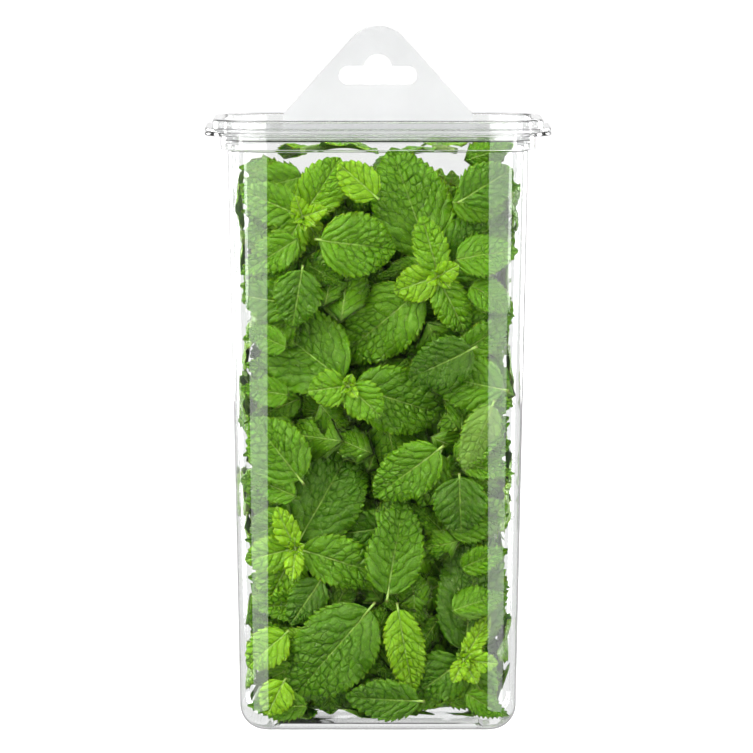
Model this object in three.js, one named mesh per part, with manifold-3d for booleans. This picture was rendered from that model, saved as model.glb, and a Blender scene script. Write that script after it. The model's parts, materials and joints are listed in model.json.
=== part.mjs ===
// Fresh mint packed in a clear hanging tub: a thermoformed tub, its press-on lid with a bonded
// hang tab, and the mint itself as separate sprigs, leaf pairs, loose leaves and cut stems.
// Millimetres, +Z up. The origin is the centre of the tub's foot, and the front wall faces -Y.
import * as THREE from "three";
import { mergeVertices } from "three/addons/utils/BufferGeometryUtils.js";
import Module from "manifold-3d";

const wasm = await Module();
wasm.setup();

// ---- driving dimensions of the pack ----
const SHEET = 0.6; // wall of the formed plastic
const BODY_WIDTH = 120.6; // outside of the body under its shoulder
const BODY_DEPTH = 80;
const BODY_HEIGHT = 233.6; // foot to shoulder
const DRAFT = 4.8; // how much each wall leans in from shoulder to foot
const CORNER = 17; // radius of the upright corners at the shoulder
const FOOT_FILLET = 10; // radius where the walls turn into the foot
const FOOT_RING = 3.5; // width of the flat ring that the pack stands on
const KICK_UP = 1.5; // how far the floor panel is raised inside the ring
const COLLAR_STEP = 2.9; // the collar stands out this far from the body
const COLLAR_HEIGHT = 6.2;
const FLANGE_REACH = 9.3; // flange edge, out from the body
const FLANGE_THICK = 1.4;
const FIT_GAP = 0.3; // between pieces that seat on each other
const PLUG_DEPTH = 3.6; // how far the lid's plug reaches below the tub's flange top
const RIM_HEIGHT = 3.4; // lid's raised rim above its flange
const RIM_REACH = 6.3; // rim's outer wall, out from the body
const RIM_EASE = 0.9; // chamfer on the rim's crest
const PLUG_EASE = 0.5; // chamfer round the plug's lower edge
const PANEL_RISE = 1.2; // stiffening step in the lid's panel
const PANEL_INSET = 12; // where that step runs, in from the body
const TAB_WIDTH = 77.4; // hang tab where it leaves the rim
const TAB_HEIGHT = 35.6; // hang tab above the rim
const TAB_TIP_RADIUS = 14.3;
const TAB_SHEET = 0.5;
const TAB_FOOT_STOP = 1.2; // the tab's bonded foot ends this far short of the panel's step
const SLOT_WIDTH = 32; // hang slot, end to end
const SLOT_HEIGHT = 7.7;
const SLOT_RISE = 15.4; // slot centre above the rim
const HUMP_RADIUS = 5.8; // round notch over the slot
const CORNER_STEPS = 5; // facets in each upright corner
const FILLET_STEPS = 4;

// ---- driving dimensions of the mint ----
const LEAF_THICK = 0.9; // over the midrib; the blade thins to its edge
const STALK_WIDTH = 1.6; // leaf stalk
const STALK_SHARE = 0.07; // stalk's share of a leaf's length
const STALK_ROOT = 0.7; // the stalk starts this far back, inside the stem
const STEM_WIDTH = 2.4; // square stem, across its flats
const GRAIN = 0.01; // corners of a joined piece lie on this grid, so none nearly meet
const TO_WALL = 0.8; // clear space between mint and plastic
const CELL = 1; // packing grid
const KEEP_OFF = 1.35; // packed pieces stay about this far from each other's surface
const DEEPER = 0.8; // step by which a piece is pushed in from its wall
const ASIDE_COST = 1.5; // moving a piece aside counts this much against pushing it deeper

// sizes that follow from the above
const MITRE = SHEET * Math.tan(Math.PI / 8); // keeps a sheet even where it turns up 45 degrees
const COLLAR_FOOT = BODY_HEIGHT + 0.8;
const FLANGE_FOOT = COLLAR_FOOT + COLLAR_HEIGHT - 0.8;
const FLANGE_TOP = FLANGE_FOOT + FLANGE_THICK;
const LID_FLANGE = FLANGE_TOP + FIT_GAP;
const LID_FLANGE_TOP = LID_FLANGE + FLANGE_THICK;
const RIM_TOP = LID_FLANGE_TOP + RIM_HEIGHT;
const PANEL_UNDER = FLANGE_TOP - PLUG_DEPTH;

const deg = THREE.MathUtils.degToRad;
const share = (n) => n - Math.floor(n);
const spread = (i, low, high) => low + (high - low) * share((i + 1) * 0.618034);

// ---------------------------------------------------------------- lofted plastic

// A ring of the tub or lid: a rounded rectangle that stands inset from the body's outer face.
function ring(inset, z) {
  const lean = DRAFT * (1 - Math.min(z, BODY_HEIGHT) / BODY_HEIGHT);
  const x = BODY_WIDTH / 2 - lean - inset;
  const y = BODY_DEPTH / 2 - lean - inset;
  const r = Math.max(CORNER - lean - inset, 1.5);
  const points = [];
  for (const [quarter, cx, cy] of [[0, x - r, y - r], [1, r - x, y - r], [2, r - x, r - y], [3, x - r, r - y]]) {
    for (let i = 0; i <= CORNER_STEPS; i++) {
      const a = ((quarter + i / CORNER_STEPS) * Math.PI) / 2;
      points.push(new THREE.Vector3(cx + r * Math.cos(a), cy + r * Math.sin(a), z));
    }
  }
  return points;
}

// Joins rings of equal length into one closed skin, with a flat cap on the first and last ring.
function loft(rings) {
  const n = rings[0].length;
  const index = [];
  for (let i = 1; i < n - 1; i++) index.push(0, i + 1, i);
  for (let k = 0; k < rings.length - 1; k++) {
    for (let i = 0; i < n; i++) {
      const a = k * n + i;
      const b = k * n + ((i + 1) % n);
      index.push(a, b, b + n, a, b + n, a + n);
    }
  }
  const last = (rings.length - 1) * n;
  for (let i = 1; i < n - 1; i++) index.push(last, last + i, last + i + 1);
  const geometry = new THREE.BufferGeometry().setFromPoints(rings.flat());
  return geometry.setIndex(index);
}

// The round turn from foot to wall, as [inset, z] pairs; a sheet of it is parallel to the outside.
function filletTurn(radius, offset) {
  return Array.from({ length: FILLET_STEPS + 1 }, (_, i) => {
    const a = (i / FILLET_STEPS) * (Math.PI / 2);
    return [offset + radius * (1 - Math.sin(a)), offset + radius * (1 - Math.cos(a))];
  });
}

function tubGeometry() {
  const ringInner = FOOT_FILLET + FOOT_RING;
  const collarInner = SHEET - COLLAR_STEP;
  const outside = [
    [ringInner + KICK_UP, KICK_UP],
    [ringInner, 0],
    ...filletTurn(FOOT_FILLET, 0),
    [0, BODY_HEIGHT],
    [-COLLAR_STEP, COLLAR_FOOT],
    [-COLLAR_STEP, FLANGE_FOOT],
    [-FLANGE_REACH, FLANGE_FOOT],
    [-FLANGE_REACH, FLANGE_TOP],
  ];
  const inside = [
    [collarInner, FLANGE_TOP],
    [collarInner, COLLAR_FOOT],
    [SHEET, BODY_HEIGHT],
    ...filletTurn(FOOT_FILLET - SHEET, SHEET).reverse(),
    [ringInner - MITRE, SHEET],
    [ringInner + KICK_UP - MITRE, KICK_UP + SHEET],
  ];
  return loft([...outside, ...inside].map(([inset, z]) => ring(inset, z)));
}

function lidGeometry() {
  const plug = SHEET - COLLAR_STEP + FIT_GAP; // plug's outer face clears the collar
  const crest = RIM_TOP - SHEET;
  const under = [
    [PANEL_INSET + PANEL_RISE, PANEL_UNDER + PANEL_RISE],
    [PANEL_INSET, PANEL_UNDER],
    [plug + PLUG_EASE, PANEL_UNDER],
    [plug, PANEL_UNDER + PLUG_EASE],
    [plug, crest],
    [SHEET - RIM_REACH, crest],
    [SHEET - RIM_REACH, LID_FLANGE],
    [-FLANGE_REACH, LID_FLANGE],
    [-FLANGE_REACH, LID_FLANGE_TOP],
  ];
  const above = [
    [-RIM_REACH, LID_FLANGE_TOP],
    [-RIM_REACH, RIM_TOP - RIM_EASE],
    [-RIM_REACH + RIM_EASE, RIM_TOP],
    [plug + SHEET - RIM_EASE, RIM_TOP],
    [plug + SHEET, RIM_TOP - RIM_EASE],
    [plug + SHEET, PANEL_UNDER + SHEET],
    [PANEL_INSET - MITRE, PANEL_UNDER + SHEET],
    [PANEL_INSET + PANEL_RISE - MITRE, PANEL_UNDER + PANEL_RISE + SHEET],
  ];
  return loft([...under, ...above].map(([inset, z]) => ring(inset, z)));
}

// ---------------------------------------------------------------- solids that are joined or cut

function solidOf(geometry) {
  const bare = new THREE.BufferGeometry().setAttribute("position", geometry.getAttribute("position").clone());
  if (geometry.index) bare.setIndex(geometry.index.clone());
  const merged = mergeVertices(bare, 1e-4);
  return new wasm.Manifold(
    new wasm.Mesh({
      numProp: 3,
      vertProperties: new Float32Array(merged.attributes.position.array),
      triVerts: new Uint32Array(merged.index.array),
    }),
  );
}

function geometryOf(solid) {
  const { numProp, numVert, vertProperties, triVerts } = solid.getMesh();
  const at = new Float32Array(numVert * 3);
  for (let i = 0; i < numVert; i++) at.set(vertProperties.subarray(i * numProp, i * numProp + 3), i * 3);
  return new THREE.BufferGeometry()
    .setAttribute("position", new THREE.BufferAttribute(at, 3))
    .setIndex(new THREE.BufferAttribute(new Uint32Array(triVerts), 1));
}

// The tab stands inside the rim's back wall, and its foot lies on the lid's panel.
function tabGeometry() {
  const foot = PANEL_UNDER + SHEET + FIT_GAP;
  const half = TAB_WIDTH / 2;
  const top = RIM_TOP + TAB_HEIGHT;
  const slope = Math.atan2(top - RIM_TOP + TAB_TIP_RADIUS * (Math.SQRT2 - 1), half);
  const tipY = top - TAB_TIP_RADIUS;
  const outline = new THREE.Shape();
  outline.moveTo(-half, foot);
  outline.lineTo(half, foot);
  outline.lineTo(half, RIM_TOP);
  outline.absarc(0, tipY, TAB_TIP_RADIUS, Math.PI / 2 - slope, Math.PI / 2 + slope, false);
  outline.lineTo(-half, RIM_TOP);
  outline.closePath();

  const y = RIM_TOP + SLOT_RISE;
  const r = SLOT_HEIGHT / 2;
  const x = SLOT_WIDTH / 2 - r;
  const slot = new THREE.Path();
  slot.moveTo(-x, y - r);
  slot.lineTo(x, y - r);
  slot.absarc(x, y, r, -Math.PI / 2, Math.PI / 2, false);
  slot.absarc(0, y + r - 0.9, HUMP_RADIUS, deg(9), deg(171), false);
  slot.absarc(-x, y, r, Math.PI / 2, (3 * Math.PI) / 2, false);
  outline.holes.push(slot);

  const plate = new THREE.ExtrudeGeometry(outline, { depth: TAB_SHEET, bevelEnabled: false, curveSegments: 9 });
  const backWall = BODY_DEPTH / 2 - (SHEET - COLLAR_STEP + FIT_GAP) - SHEET;
  plate.rotateX(Math.PI / 2).translate(0, backWall - FIT_GAP, 0);
  const stripBack = backWall - FIT_GAP;
  const stripFront = BODY_DEPTH / 2 - PANEL_INSET + MITRE + TAB_FOOT_STOP;
  const strip = new THREE.BoxGeometry(TAB_WIDTH, stripBack - stripFront, TAB_SHEET);
  strip.translate(0, (stripBack + stripFront) / 2, foot + TAB_SHEET / 2);
  return geometryOf(solidOf(plate).add(solidOf(strip)));
}

// ---------------------------------------------------------------- mint

// Half the blade's width at a share t of its length, as a share of the leaf's full width.
function bladeHalf(t) {
  const peak = 0.42;
  const shape = (s) => s ** 0.55 * (1 - s) ** 0.76;
  return (0.5 * shape(t)) / shape(peak);
}

// A point of the leaf's middle surface, before it is turned: it grows along +Y from its stalk and
// shows its upper side to +Z. bend curls the tip down, fold lifts the two halves, twist turns them.
function bladePoint(leaf, t, side, half) {
  const bend = deg(leaf.bend) || 1e-6;
  const a = bend * t;
  const along = (leaf.length * Math.sin(a)) / bend;
  const drop = (leaf.length * (1 - Math.cos(a))) / bend;
  const tilt = deg(leaf.fold) * Math.sign(side);
  const turn = deg(leaf.twist) * t;
  const out = half * side;
  const across = out * Math.cos(tilt + turn);
  const lift = out * Math.sin(tilt + turn);
  return new THREE.Vector3(across, along + lift * Math.sin(a), -drop + lift * Math.cos(a));
}

// A leaf as a lens-shaped solid: four corners at each station, closing in a point at the tip.
function leafGeometry(leaf) {
  const stations = [0, STALK_SHARE, 0.22, 0.44, 0.68, 0.87];
  const points = [];
  for (const t of stations) {
    const blade = (t - STALK_SHARE) / (1 - STALK_SHARE);
    const half = Math.max(STALK_WIDTH / 2, blade > 0 ? leaf.width * bladeHalf(blade) : 0);
    const thick = new THREE.Vector3(0, 0, LEAF_THICK / 2);
    const middle = bladePoint(leaf, t, 0, 0);
    points.push(bladePoint(leaf, t, 1, half), middle.clone().add(thick));
    points.push(bladePoint(leaf, t, -1, half), middle.clone().sub(thick));
  }
  points.push(bladePoint(leaf, 1, 0, 0));
  const index = [0, 1, 2, 0, 2, 3];
  const rings = stations.length;
  for (let k = 0; k < rings - 1; k++) {
    for (let i = 0; i < 4; i++) {
      const a = 4 * k + i;
      const b = 4 * k + ((i + 1) % 4);
      index.push(a, a + 4, b + 4, a, b + 4, b);
    }
  }
  const end = 4 * (rings - 1);
  for (let i = 0; i < 4; i++) index.push(end + i, 4 * rings, end + ((i + 1) % 4));
  return new THREE.BufferGeometry().setFromPoints(points).setIndex(index);
}

// Turns a leaf in the wall's frame, where X is right, Y is up and Z comes out of the wall. heading
// is clockwise from up, lean tips the growth out of the wall, roll turns the leaf on its midrib.
function leafTurn({ heading, lean, roll }) {
  const h = deg(heading);
  const l = deg(lean);
  const r = deg(roll);
  const flat = new THREE.Vector3(Math.sin(h), Math.cos(h), 0);
  const out = new THREE.Vector3(0, 0, 1);
  const grow = flat.clone().multiplyScalar(Math.cos(l)).addScaledVector(out, Math.sin(l));
  const face = out.clone().multiplyScalar(Math.cos(l)).addScaledVector(flat, -Math.sin(l));
  const side = grow.clone().cross(face);
  const rolledSide = side.clone().multiplyScalar(Math.cos(r)).addScaledVector(face, -Math.sin(r));
  const rolledFace = face.clone().multiplyScalar(Math.cos(r)).addScaledVector(side, Math.sin(r));
  return new THREE.Matrix4().makeBasis(rolledSide, grow, rolledFace);
}

function stemGeometry(points) {
  const half = STEM_WIDTH / 2;
  const square = new THREE.Shape([
    new THREE.Vector2(-half, -half),
    new THREE.Vector2(half, -half),
    new THREE.Vector2(half, half),
    new THREE.Vector2(-half, half),
  ]);
  const path = new THREE.CatmullRomCurve3(points.map((p) => new THREE.Vector3(...p)));
  return new THREE.ExtrudeGeometry(square, { steps: 2 * (points.length - 1), extrudePath: path });
}

// A leaf's numbers: heading, length and width, then how it lies.
const leaf = (heading, length, width, more = {}) => ({
  heading,
  length,
  width,
  lean: 4,
  roll: 0,
  bend: 22,
  fold: 9,
  twist: 0,
  base: [0, 0, 0],
  ...more,
});

// A shoot that points out of the wall: its leaves open round the tip, each pair under the last.
const shoot = (stemLength, leaves) => ({
  stem: [[0, 0, 0], [0.6, -0.8, -stemLength / 2], [2.4, -2.2, -stemLength]],
  leaves: leaves.map(([heading, length, width, lean = 8, below = 3, more = {}]) =>
    leaf(heading, length, width, { lean, bend: 30, base: [0, 0, -below], ...more }),
  ),
});

// A cut sprig that lies along the wall, with its leaf pairs turned flat against it. gape is the
// angle that its leaves stand away from the stem.
function flatSprig(number, stemLength, pairs, leafLength, gape = 55) {
  const sway = spread(number, -5, 5);
  const leaves = [];
  for (let k = 0; k < pairs; k++) {
    const down = stemLength * (0.06 + (0.8 * k) / pairs);
    const size = leafLength * (0.62 + 0.38 * Math.min(1, k / 1.6));
    for (const hand of [-1, 1]) {
      leaves.push(
        leaf(hand * gape * spread(number + 3 * k + hand, 0.77, 1.23), size * spread(k + hand + number, 0.92, 1.08), size * 0.58, {
          lean: k % 2 ? -9 : 11,
          bend: spread(number + k, 16, 34),
          twist: hand * spread(k + number, -8, 12),
          base: [sway * Math.sin((Math.PI * down) / stemLength), -down, 0],
        }),
      );
    }
  }
  leaves.push(leaf(spread(number, -14, 14), leafLength * 0.42, leafLength * 0.24, { lean: 8 }));
  const along = [0, 0.25, 0.5, 0.75, 1];
  const stem = along.map((t) => [sway * Math.sin(Math.PI * t), -t * stemLength, 0]);
  return { stem, leaves };
}

// Two opposite leaves with the short piece of stem that they grow on.
function leafPair(number, leafLength) {
  const opening = spread(number, 118, 168);
  return {
    stem: [[0, 2, 0], [0.3, -4, -0.4], [0.9, -9, -1.2]],
    leaves: [-1, 1].map((hand) =>
      leaf((hand * opening) / 2, leafLength * spread(number + hand, 0.9, 1.06), leafLength * 0.6, {
        lean: 3 + 5 * hand,
        bend: spread(number + hand, 14, 32),
        twist: 7 * hand,
      }),
    ),
  };
}

// The top of a shoot, seen end on: a large pair with a smaller pair across it.
function crossedPairs(number, leafLength) {
  const turn = spread(number, -12, 12);
  return shoot(12, [
    [turn + 90, leafLength * 0.7, leafLength * 0.44, 12, 0], [turn - 90, leafLength * 0.66, leafLength * 0.42, 12, 0],
    [turn, leafLength, leafLength * 0.62, 3, 5], [turn + 180, leafLength * 0.96, leafLength * 0.6, 3, 5],
  ]);
}

const looseLeaf = (heading, length, width, more = {}) => ({ leaves: [leaf(heading, length, width, more)] });

// Walls of the tub as frames: right and up across the wall, and out through it.
const WALLS = {
  front: { right: [1, 0, 0], up: [0, 0, 1], out: [0, -1, 0] },
  back: { right: [-1, 0, 0], up: [0, 0, 1], out: [0, 1, 0] },
  left: { right: [0, -1, 0], up: [0, 0, 1], out: [-1, 0, 0] },
  right: { right: [0, 1, 0], up: [0, 0, 1], out: [1, 0, 0] },
  top: { right: [1, 0, 0], up: [0, 1, 0], out: [0, 0, 1] },
  bottom: { right: [-1, 0, 0], up: [0, 1, 0], out: [0, 0, -1] },
};

// The bunch, in packing order. across and rise place a piece's origin on its wall: across runs from
// -1 to 1 over the half width, rise from 0 at the foot to 1 at the shoulder.
function bunch() {
  const list = [];
  const add = (name, wall, across, rise, piece, spin = 0) => list.push({ name, wall, across, rise, piece, spin });

  // shoots and leaves against the front wall, the foremost first
  add("front_shoot_1", "front", -0.5, 0.888, shoot(15, [
    [-18, 11, 7, 42, 0], [70, 12, 7, 36, 0],
    [-67, 28, 17, 10, 3], [211, 28, 15, 4, 3],
    [33, 29, 19, 8, 7], [57, 28, 12, 3, 9, { roll: 24 }],
    [146, 16, 9, 6, 7],
  ]));
  add("front_shoot_2", "front", 0.4, 0.786, shoot(15, [
    [60, 11, 9, 38, 0], [-120, 7, 5, 45, 0],
    [-15, 26, 14, 12, 3], [250, 20, 15, 10, 3],
    [155, 27, 15, 8, 4], [48, 37, 25, 5, 7],
    [125, 32, 19, -3, 10],
  ]));
  add("front_shoot_3", "front", -0.2, 0.598, shoot(16, [
    [-98, 17, 15, 10, 0, { bend: 12 }], [133, 19, 16, 8, 0, { bend: 12 }],
    [20, 7, 5, 50, 0],
    [-52, 47, 34, 0, 6, { bend: 34 }], [108, 45, 27, 2, 6, { bend: 32 }],
  ]));
  add("front_leaf_01", "front", -0.027, 0.222, looseLeaf(220, 54, 32, { bend: 26, fold: 6, lean: 2 }));
  add("front_shoot_4", "front", -0.55, 0.316, shoot(15, [
    [186, 14, 8, 30, 0], [-24, 20, 10, 24, 0],
    [107, 43, 20, 5, 2], [-104, 22, 15, 10, 3],
    [29, 52, 32, 2, 6, { bend: 20 }], [206, 28, 20, 4, 6],
  ]));
  add("front_shoot_5", "front", 0.57, 0.124, shoot(13, [
    [205, 11, 7, 26, 0], [30, 22, 8, 16, 1], [96, 15, 9, 20, 1], [150, 12, 8, 22, 1],
    [7, 57, 28, 1, 5, { bend: 18 }], [232, 25, 20, 4, 4],
    [152, 24, 17, 4, 6],
  ]));
  add("front_leaf_02", "front", 0.37, 0.768, looseLeaf(230, 49, 28, { bend: 24, lean: 0 }));
  add("front_leaf_03", "front", -0.41, 0.85, looseLeaf(98, 34, 26, { bend: 32, lean: 6 }));
  add("front_leaf_04", "front", 0.35, 0.809, looseLeaf(-19, 50, 32, { bend: 26, lean: 4, fold: 5 }));
  add("front_leaf_05", "front", 0.128, 0.22, looseLeaf(170, 38, 16, { twist: 20, bend: 16, fold: 14 }));
  add("front_leaf_06", "front", 0.06, 0.227, looseLeaf(9, 42, 23, { twist: -12, bend: 16, fold: 14 }));
  add("front_leaf_07", "front", 0.43, 0.494, looseLeaf(233, 36, 21, { bend: 28 }));
  add("front_leaf_08", "front", 0.86, 0.589, looseLeaf(-78, 33, 22, { bend: 20 }));
  add("front_leaf_09", "front", 0.77, 0.572, looseLeaf(201, 32, 15, { roll: 168, bend: -18, fold: 12 }));
  add("front_leaf_10", "front", 0.13, 0.352, looseLeaf(-98, 30, 17, { bend: 14, twist: 10 }));
  add("front_leaf_11", "front", -0.5, 0.803, looseLeaf(190, 26, 19, { bend: 18, lean: 0 }));
  add("front_leaf_12", "front", 0.54, 0.914, looseLeaf(58, 26, 19, { bend: 18 }));
  add("front_leaf_13", "front", 0.42, 0.485, looseLeaf(195, 26, 14, { bend: 26, roll: -20 }));
  add("front_leaf_14", "front", 0.54, 0.445, looseLeaf(178, 25, 22, { bend: 18 }));
  add("front_leaf_15", "front", -0.6, 0.173, looseLeaf(230, 23, 16, { bend: 20, roll: 14 }));
  add("front_leaf_16", "front", 0.25, 0.052, looseLeaf(-88, 32, 17, { bend: 12, roll: -12 }));
  add("front_leaf_17", "front", 0.46, 0.085, looseLeaf(247, 24, 16, { bend: 16 }));
  add("front_leaf_18", "front", -0.62, 0.09, looseLeaf(207, 17, 14, { bend: 16 }));
  add("front_leaf_19", "front", -0.66, 0.737, looseLeaf(-80, 22, 17, { bend: 20 }));
  add("front_leaf_20", "front", -0.5, 0.43, looseLeaf(-38, 34, 24, { bend: 16, twist: 10 }));
  add("front_leaf_21", "front", -0.37, 0.265, looseLeaf(214, 24, 15, { bend: 16 }));
  add("front_leaf_22", "front", 0.65, 0.665, looseLeaf(244, 31, 20, { bend: 22 }));
  add("front_leaf_23", "front", 0, 0.92, looseLeaf(-48, 22, 15, { bend: 18 }));

  // leaves that stand against the side walls
  for (let i = 0; i < 4; i++) {
    const rise = 0.13 + 0.24 * i;
    add(`left_pair_${i + 1}`, "left", spread(i, -0.25, 0.25), rise, leafPair(i + 2, 31), 20 - 150 * i);
    add(`right_pair_${i + 1}`, "right", spread(i + 5, -0.25, 0.25), rise + 0.04, leafPair(i + 9, 31), 190 + 130 * i);
  }

  // sprigs along the back wall, then what lies on the floor and under the lid
  for (let i = 0; i < 4; i++) {
    const side = i % 2 ? 1 : -1;
    const rise = i < 2 ? 0.9 : 0.47;
    add(`back_sprig_${i + 1}`, "back", 0.36 * side, rise, flatSprig(i + 1, 84, 4, 36.5), side * (9 - 3.9 * i));
  }
  for (let i = 0; i < 2; i++) {
    const side = i % 2 ? 1 : -1;
    add(`floor_pair_${i + 1}`, "bottom", 0.45 * side, 0, leafPair(i + 20, 33), 70 * side);
    add(`top_pair_${i + 1}`, "top", 0.4 * side, 1, leafPair(i + 31, 33), -50 * side);
  }

  // sprigs with closed leaves down the middle, then shoots behind the front and back rows
  for (let i = 0; i < 3; i++) {
    add(`core_sprig_${i + 1}`, "back", 0.5 * (i - 1), 0.9 - 0.22 * i, flatSprig(i + 7, 88, 3, 34, 38), 12 * (i - 1));
  }
  for (let i = 0; i < 6; i++) {
    const side = i % 2 ? 1 : -1;
    add(`inner_shoot_${i + 1}`, "front", 0.45 * side, 0.1 + 0.155 * i, crossedPairs(i + 40, 34), 137.5 * i);
  }
  for (let i = 0; i < 4; i++) {
    const side = i % 2 ? 1 : -1;
    add(`back_shoot_${i + 1}`, "back", 0.4 * side, 0.14 + 0.22 * i, crossedPairs(i + 50, 34), 100 + 137.5 * i);
  }
  return list;
}

function pieceSolid({ stem, leaves }, spin) {
  const parts = leaves.map((one) => {
    const geometry = leafGeometry(one).translate(0, -STALK_ROOT, 0);
    return solidOf(geometry.applyMatrix4(leafTurn(one)).translate(...one.base));
  });
  if (stem) parts.push(solidOf(stemGeometry(stem)));
  const whole = parts.reduce((a, b) => a.add(b));
  return tidied(geometryOf(whole).applyMatrix4(new THREE.Matrix4().makeRotationZ(-deg(spin))));
}

// Draws each corner onto the grain and drops the slivers that this closes.
function tidied(geometry) {
  const at = geometry.getAttribute("position").array.map((v) => Math.round(v / GRAIN) * GRAIN);
  geometry.setAttribute("position", new THREE.BufferAttribute(at, 3));
  const merged = mergeVertices(geometry, GRAIN / 4);
  const corners = [...merged.index.array];
  const kept = [];
  for (let i = 0; i < corners.length; i += 3) {
    const face = corners.slice(i, i + 3);
    if (new Set(face).size === 3) kept.push(...face);
  }
  return merged.setIndex(kept);
}

// ---------------------------------------------------------------- packing

// How far the plastic's inner face stands in from the body's outer face at height z.
function insetAt(z) {
  const r = FOOT_FILLET;
  return SHEET + (z < r ? r - Math.sqrt(Math.max(0, r * r - (r - z) ** 2)) : 0);
}

const FLOOR = KICK_UP + SHEET + TO_WALL;
const CEILING = PANEL_UNDER - TO_WALL;

function insideTub(x, y, z) {
  if (z < FLOOR || z > CEILING) return false;
  const lean = DRAFT * (1 - Math.min(z, BODY_HEIGHT) / BODY_HEIGHT);
  const inset = lean + insetAt(z) + TO_WALL;
  const r = Math.max(CORNER - inset, 0);
  const dx = Math.abs(x) - (BODY_WIDTH / 2 - inset - r);
  const dy = Math.abs(y) - (BODY_DEPTH / 2 - inset - r);
  if (dx <= 0 || dy <= 0) return Math.max(dx, dy) <= r;
  return Math.hypot(dx, dy) <= r;
}

// Points spread over a mesh, close enough together that no piece can slip between them.
function surfacePoints(geometry) {
  const at = geometry.getAttribute("position");
  const index = geometry.index.array;
  const points = [];
  const [a, b, c] = [new THREE.Vector3(), new THREE.Vector3(), new THREE.Vector3()];
  for (let f = 0; f < index.length; f += 3) {
    a.fromBufferAttribute(at, index[f]);
    b.fromBufferAttribute(at, index[f + 1]).sub(a);
    c.fromBufferAttribute(at, index[f + 2]).sub(a);
    const steps = Math.ceil(Math.max(b.length(), c.length(), b.distanceTo(c)) / CELL);
    for (let i = 0; i <= steps; i++) {
      for (let j = 0; j <= steps - i; j++) {
        const [u, v] = [i / steps, j / steps];
        points.push(a.x + u * b.x + v * c.x, a.y + u * b.y + v * c.y, a.z + u * b.z + v * c.z);
      }
    }
  }
  return new Float32Array(points);
}

// The room in the tub as a grid of cells. A cell is taken when it is in or past the plastic, or
// within KEEP_OFF of a piece that is already packed.
class Room {
  constructor() {
    this.low = [-BODY_WIDTH / 2 - 4 * CELL, -BODY_DEPTH / 2 - 4 * CELL, -4 * CELL];
    this.size = [BODY_WIDTH, BODY_DEPTH, RIM_TOP].map((s) => Math.ceil(s / CELL) + 8);
    const [nx, ny, nz] = this.size;
    this.taken = new Uint8Array(nx * ny * nz);
    const centre = (i, axis) => this.low[axis] + (i + 0.5) * CELL;
    for (let k = 0; k < nz; k++) {
      for (let j = 0; j < ny; j++) {
        for (let i = 0; i < nx; i++) {
          const inside = insideTub(centre(i, 0), centre(j, 1), centre(k, 2));
          this.taken[(k * ny + j) * nx + i] = inside ? 0 : 1;
        }
      }
    }
  }

  // Whether every point has room when the piece is moved to a place. A few points go first.
  free(points, at) {
    const [nx, ny, nz] = this.size;
    for (const stride of [111, 3]) {
      for (let n = 0; n < points.length; n += stride) {
        const i = Math.floor((points[n] + at.x - this.low[0]) / CELL);
        const j = Math.floor((points[n + 1] + at.y - this.low[1]) / CELL);
        const k = Math.floor((points[n + 2] + at.z - this.low[2]) / CELL);
        if (i < 0 || j < 0 || k < 0 || i >= nx || j >= ny || k >= nz) return false;
        if (this.taken[(k * ny + j) * nx + i]) return false;
      }
    }
    return true;
  }

  take(points, at) {
    const [nx, ny] = this.size;
    const reach = Math.ceil(KEEP_OFF / CELL);
    for (let n = 0; n < points.length; n += 3) {
      const x = (points[n] + at.x - this.low[0]) / CELL;
      const y = (points[n + 1] + at.y - this.low[1]) / CELL;
      const z = (points[n + 2] + at.z - this.low[2]) / CELL;
      for (let k = Math.floor(z) - reach; k <= z + reach; k++) {
        for (let j = Math.floor(y) - reach; j <= y + reach; j++) {
          for (let i = Math.floor(x) - reach; i <= x + reach; i++) {
            const far = Math.hypot(i + 0.5 - x, j + 0.5 - y, k + 0.5 - z) * CELL;
            if (far <= KEEP_OFF) this.taken[(k * ny + j) * nx + i] = 1;
          }
        }
      }
    }
  }
}

// Sideways shifts to try, the shortest first.
const SHIFTS = [];
for (let i = -10; i <= 10; i++) for (let j = -30; j <= 30; j++) SHIFTS.push([3 * i, 3 * j]);
SHIFTS.sort((a, b) => Math.hypot(...a) - Math.hypot(...b));

// Finds where a piece lies: as near its wall and its place as the pieces already packed allow.
function settle(room, points, wall, across, rise) {
  const [right, up, out] = [wall.right, wall.up, wall.out].map((v) => new THREE.Vector3(...v));
  const upright = wall.up[2] === 1;
  const sideways = Math.abs(wall.right[0]) ? BODY_WIDTH / 2 : BODY_DEPTH / 2;
  const ahead = Math.abs(wall.out[0]) ? BODY_WIDTH / 2 : BODY_DEPTH / 2;
  const wallAt = upright ? ahead : wall.out[2] > 0 ? CEILING : -FLOOR;
  let reach = -Infinity;
  for (let n = 0; n < points.length; n += 3) {
    reach = Math.max(reach, points[n] * out.x + points[n + 1] * out.y + points[n + 2] * out.z);
  }
  const start = right.clone().multiplyScalar(across * sideways).addScaledVector(out, wallAt - reach);
  if (upright) start.addScaledVector(up, rise * BODY_HEIGHT);
  const deepest = upright ? 2 * ahead : BODY_HEIGHT;
  let best = null;
  for (const [sx, sy] of SHIFTS) {
    const aside = ASIDE_COST * Math.hypot(sx, sy);
    if (best && aside >= best.cost) continue;
    for (let depth = 0; depth < deepest; depth += DEEPER) {
      const cost = depth + aside;
      if (best && cost >= best.cost) break;
      const at = start.clone().addScaledVector(right, sx).addScaledVector(up, sy).addScaledVector(out, -depth);
      if (room.free(points, at)) {
        best = { cost, at, depth, aside };
        break;
      }
    }
  }
  return best;
}

// ---------------------------------------------------------------- the pack

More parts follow.
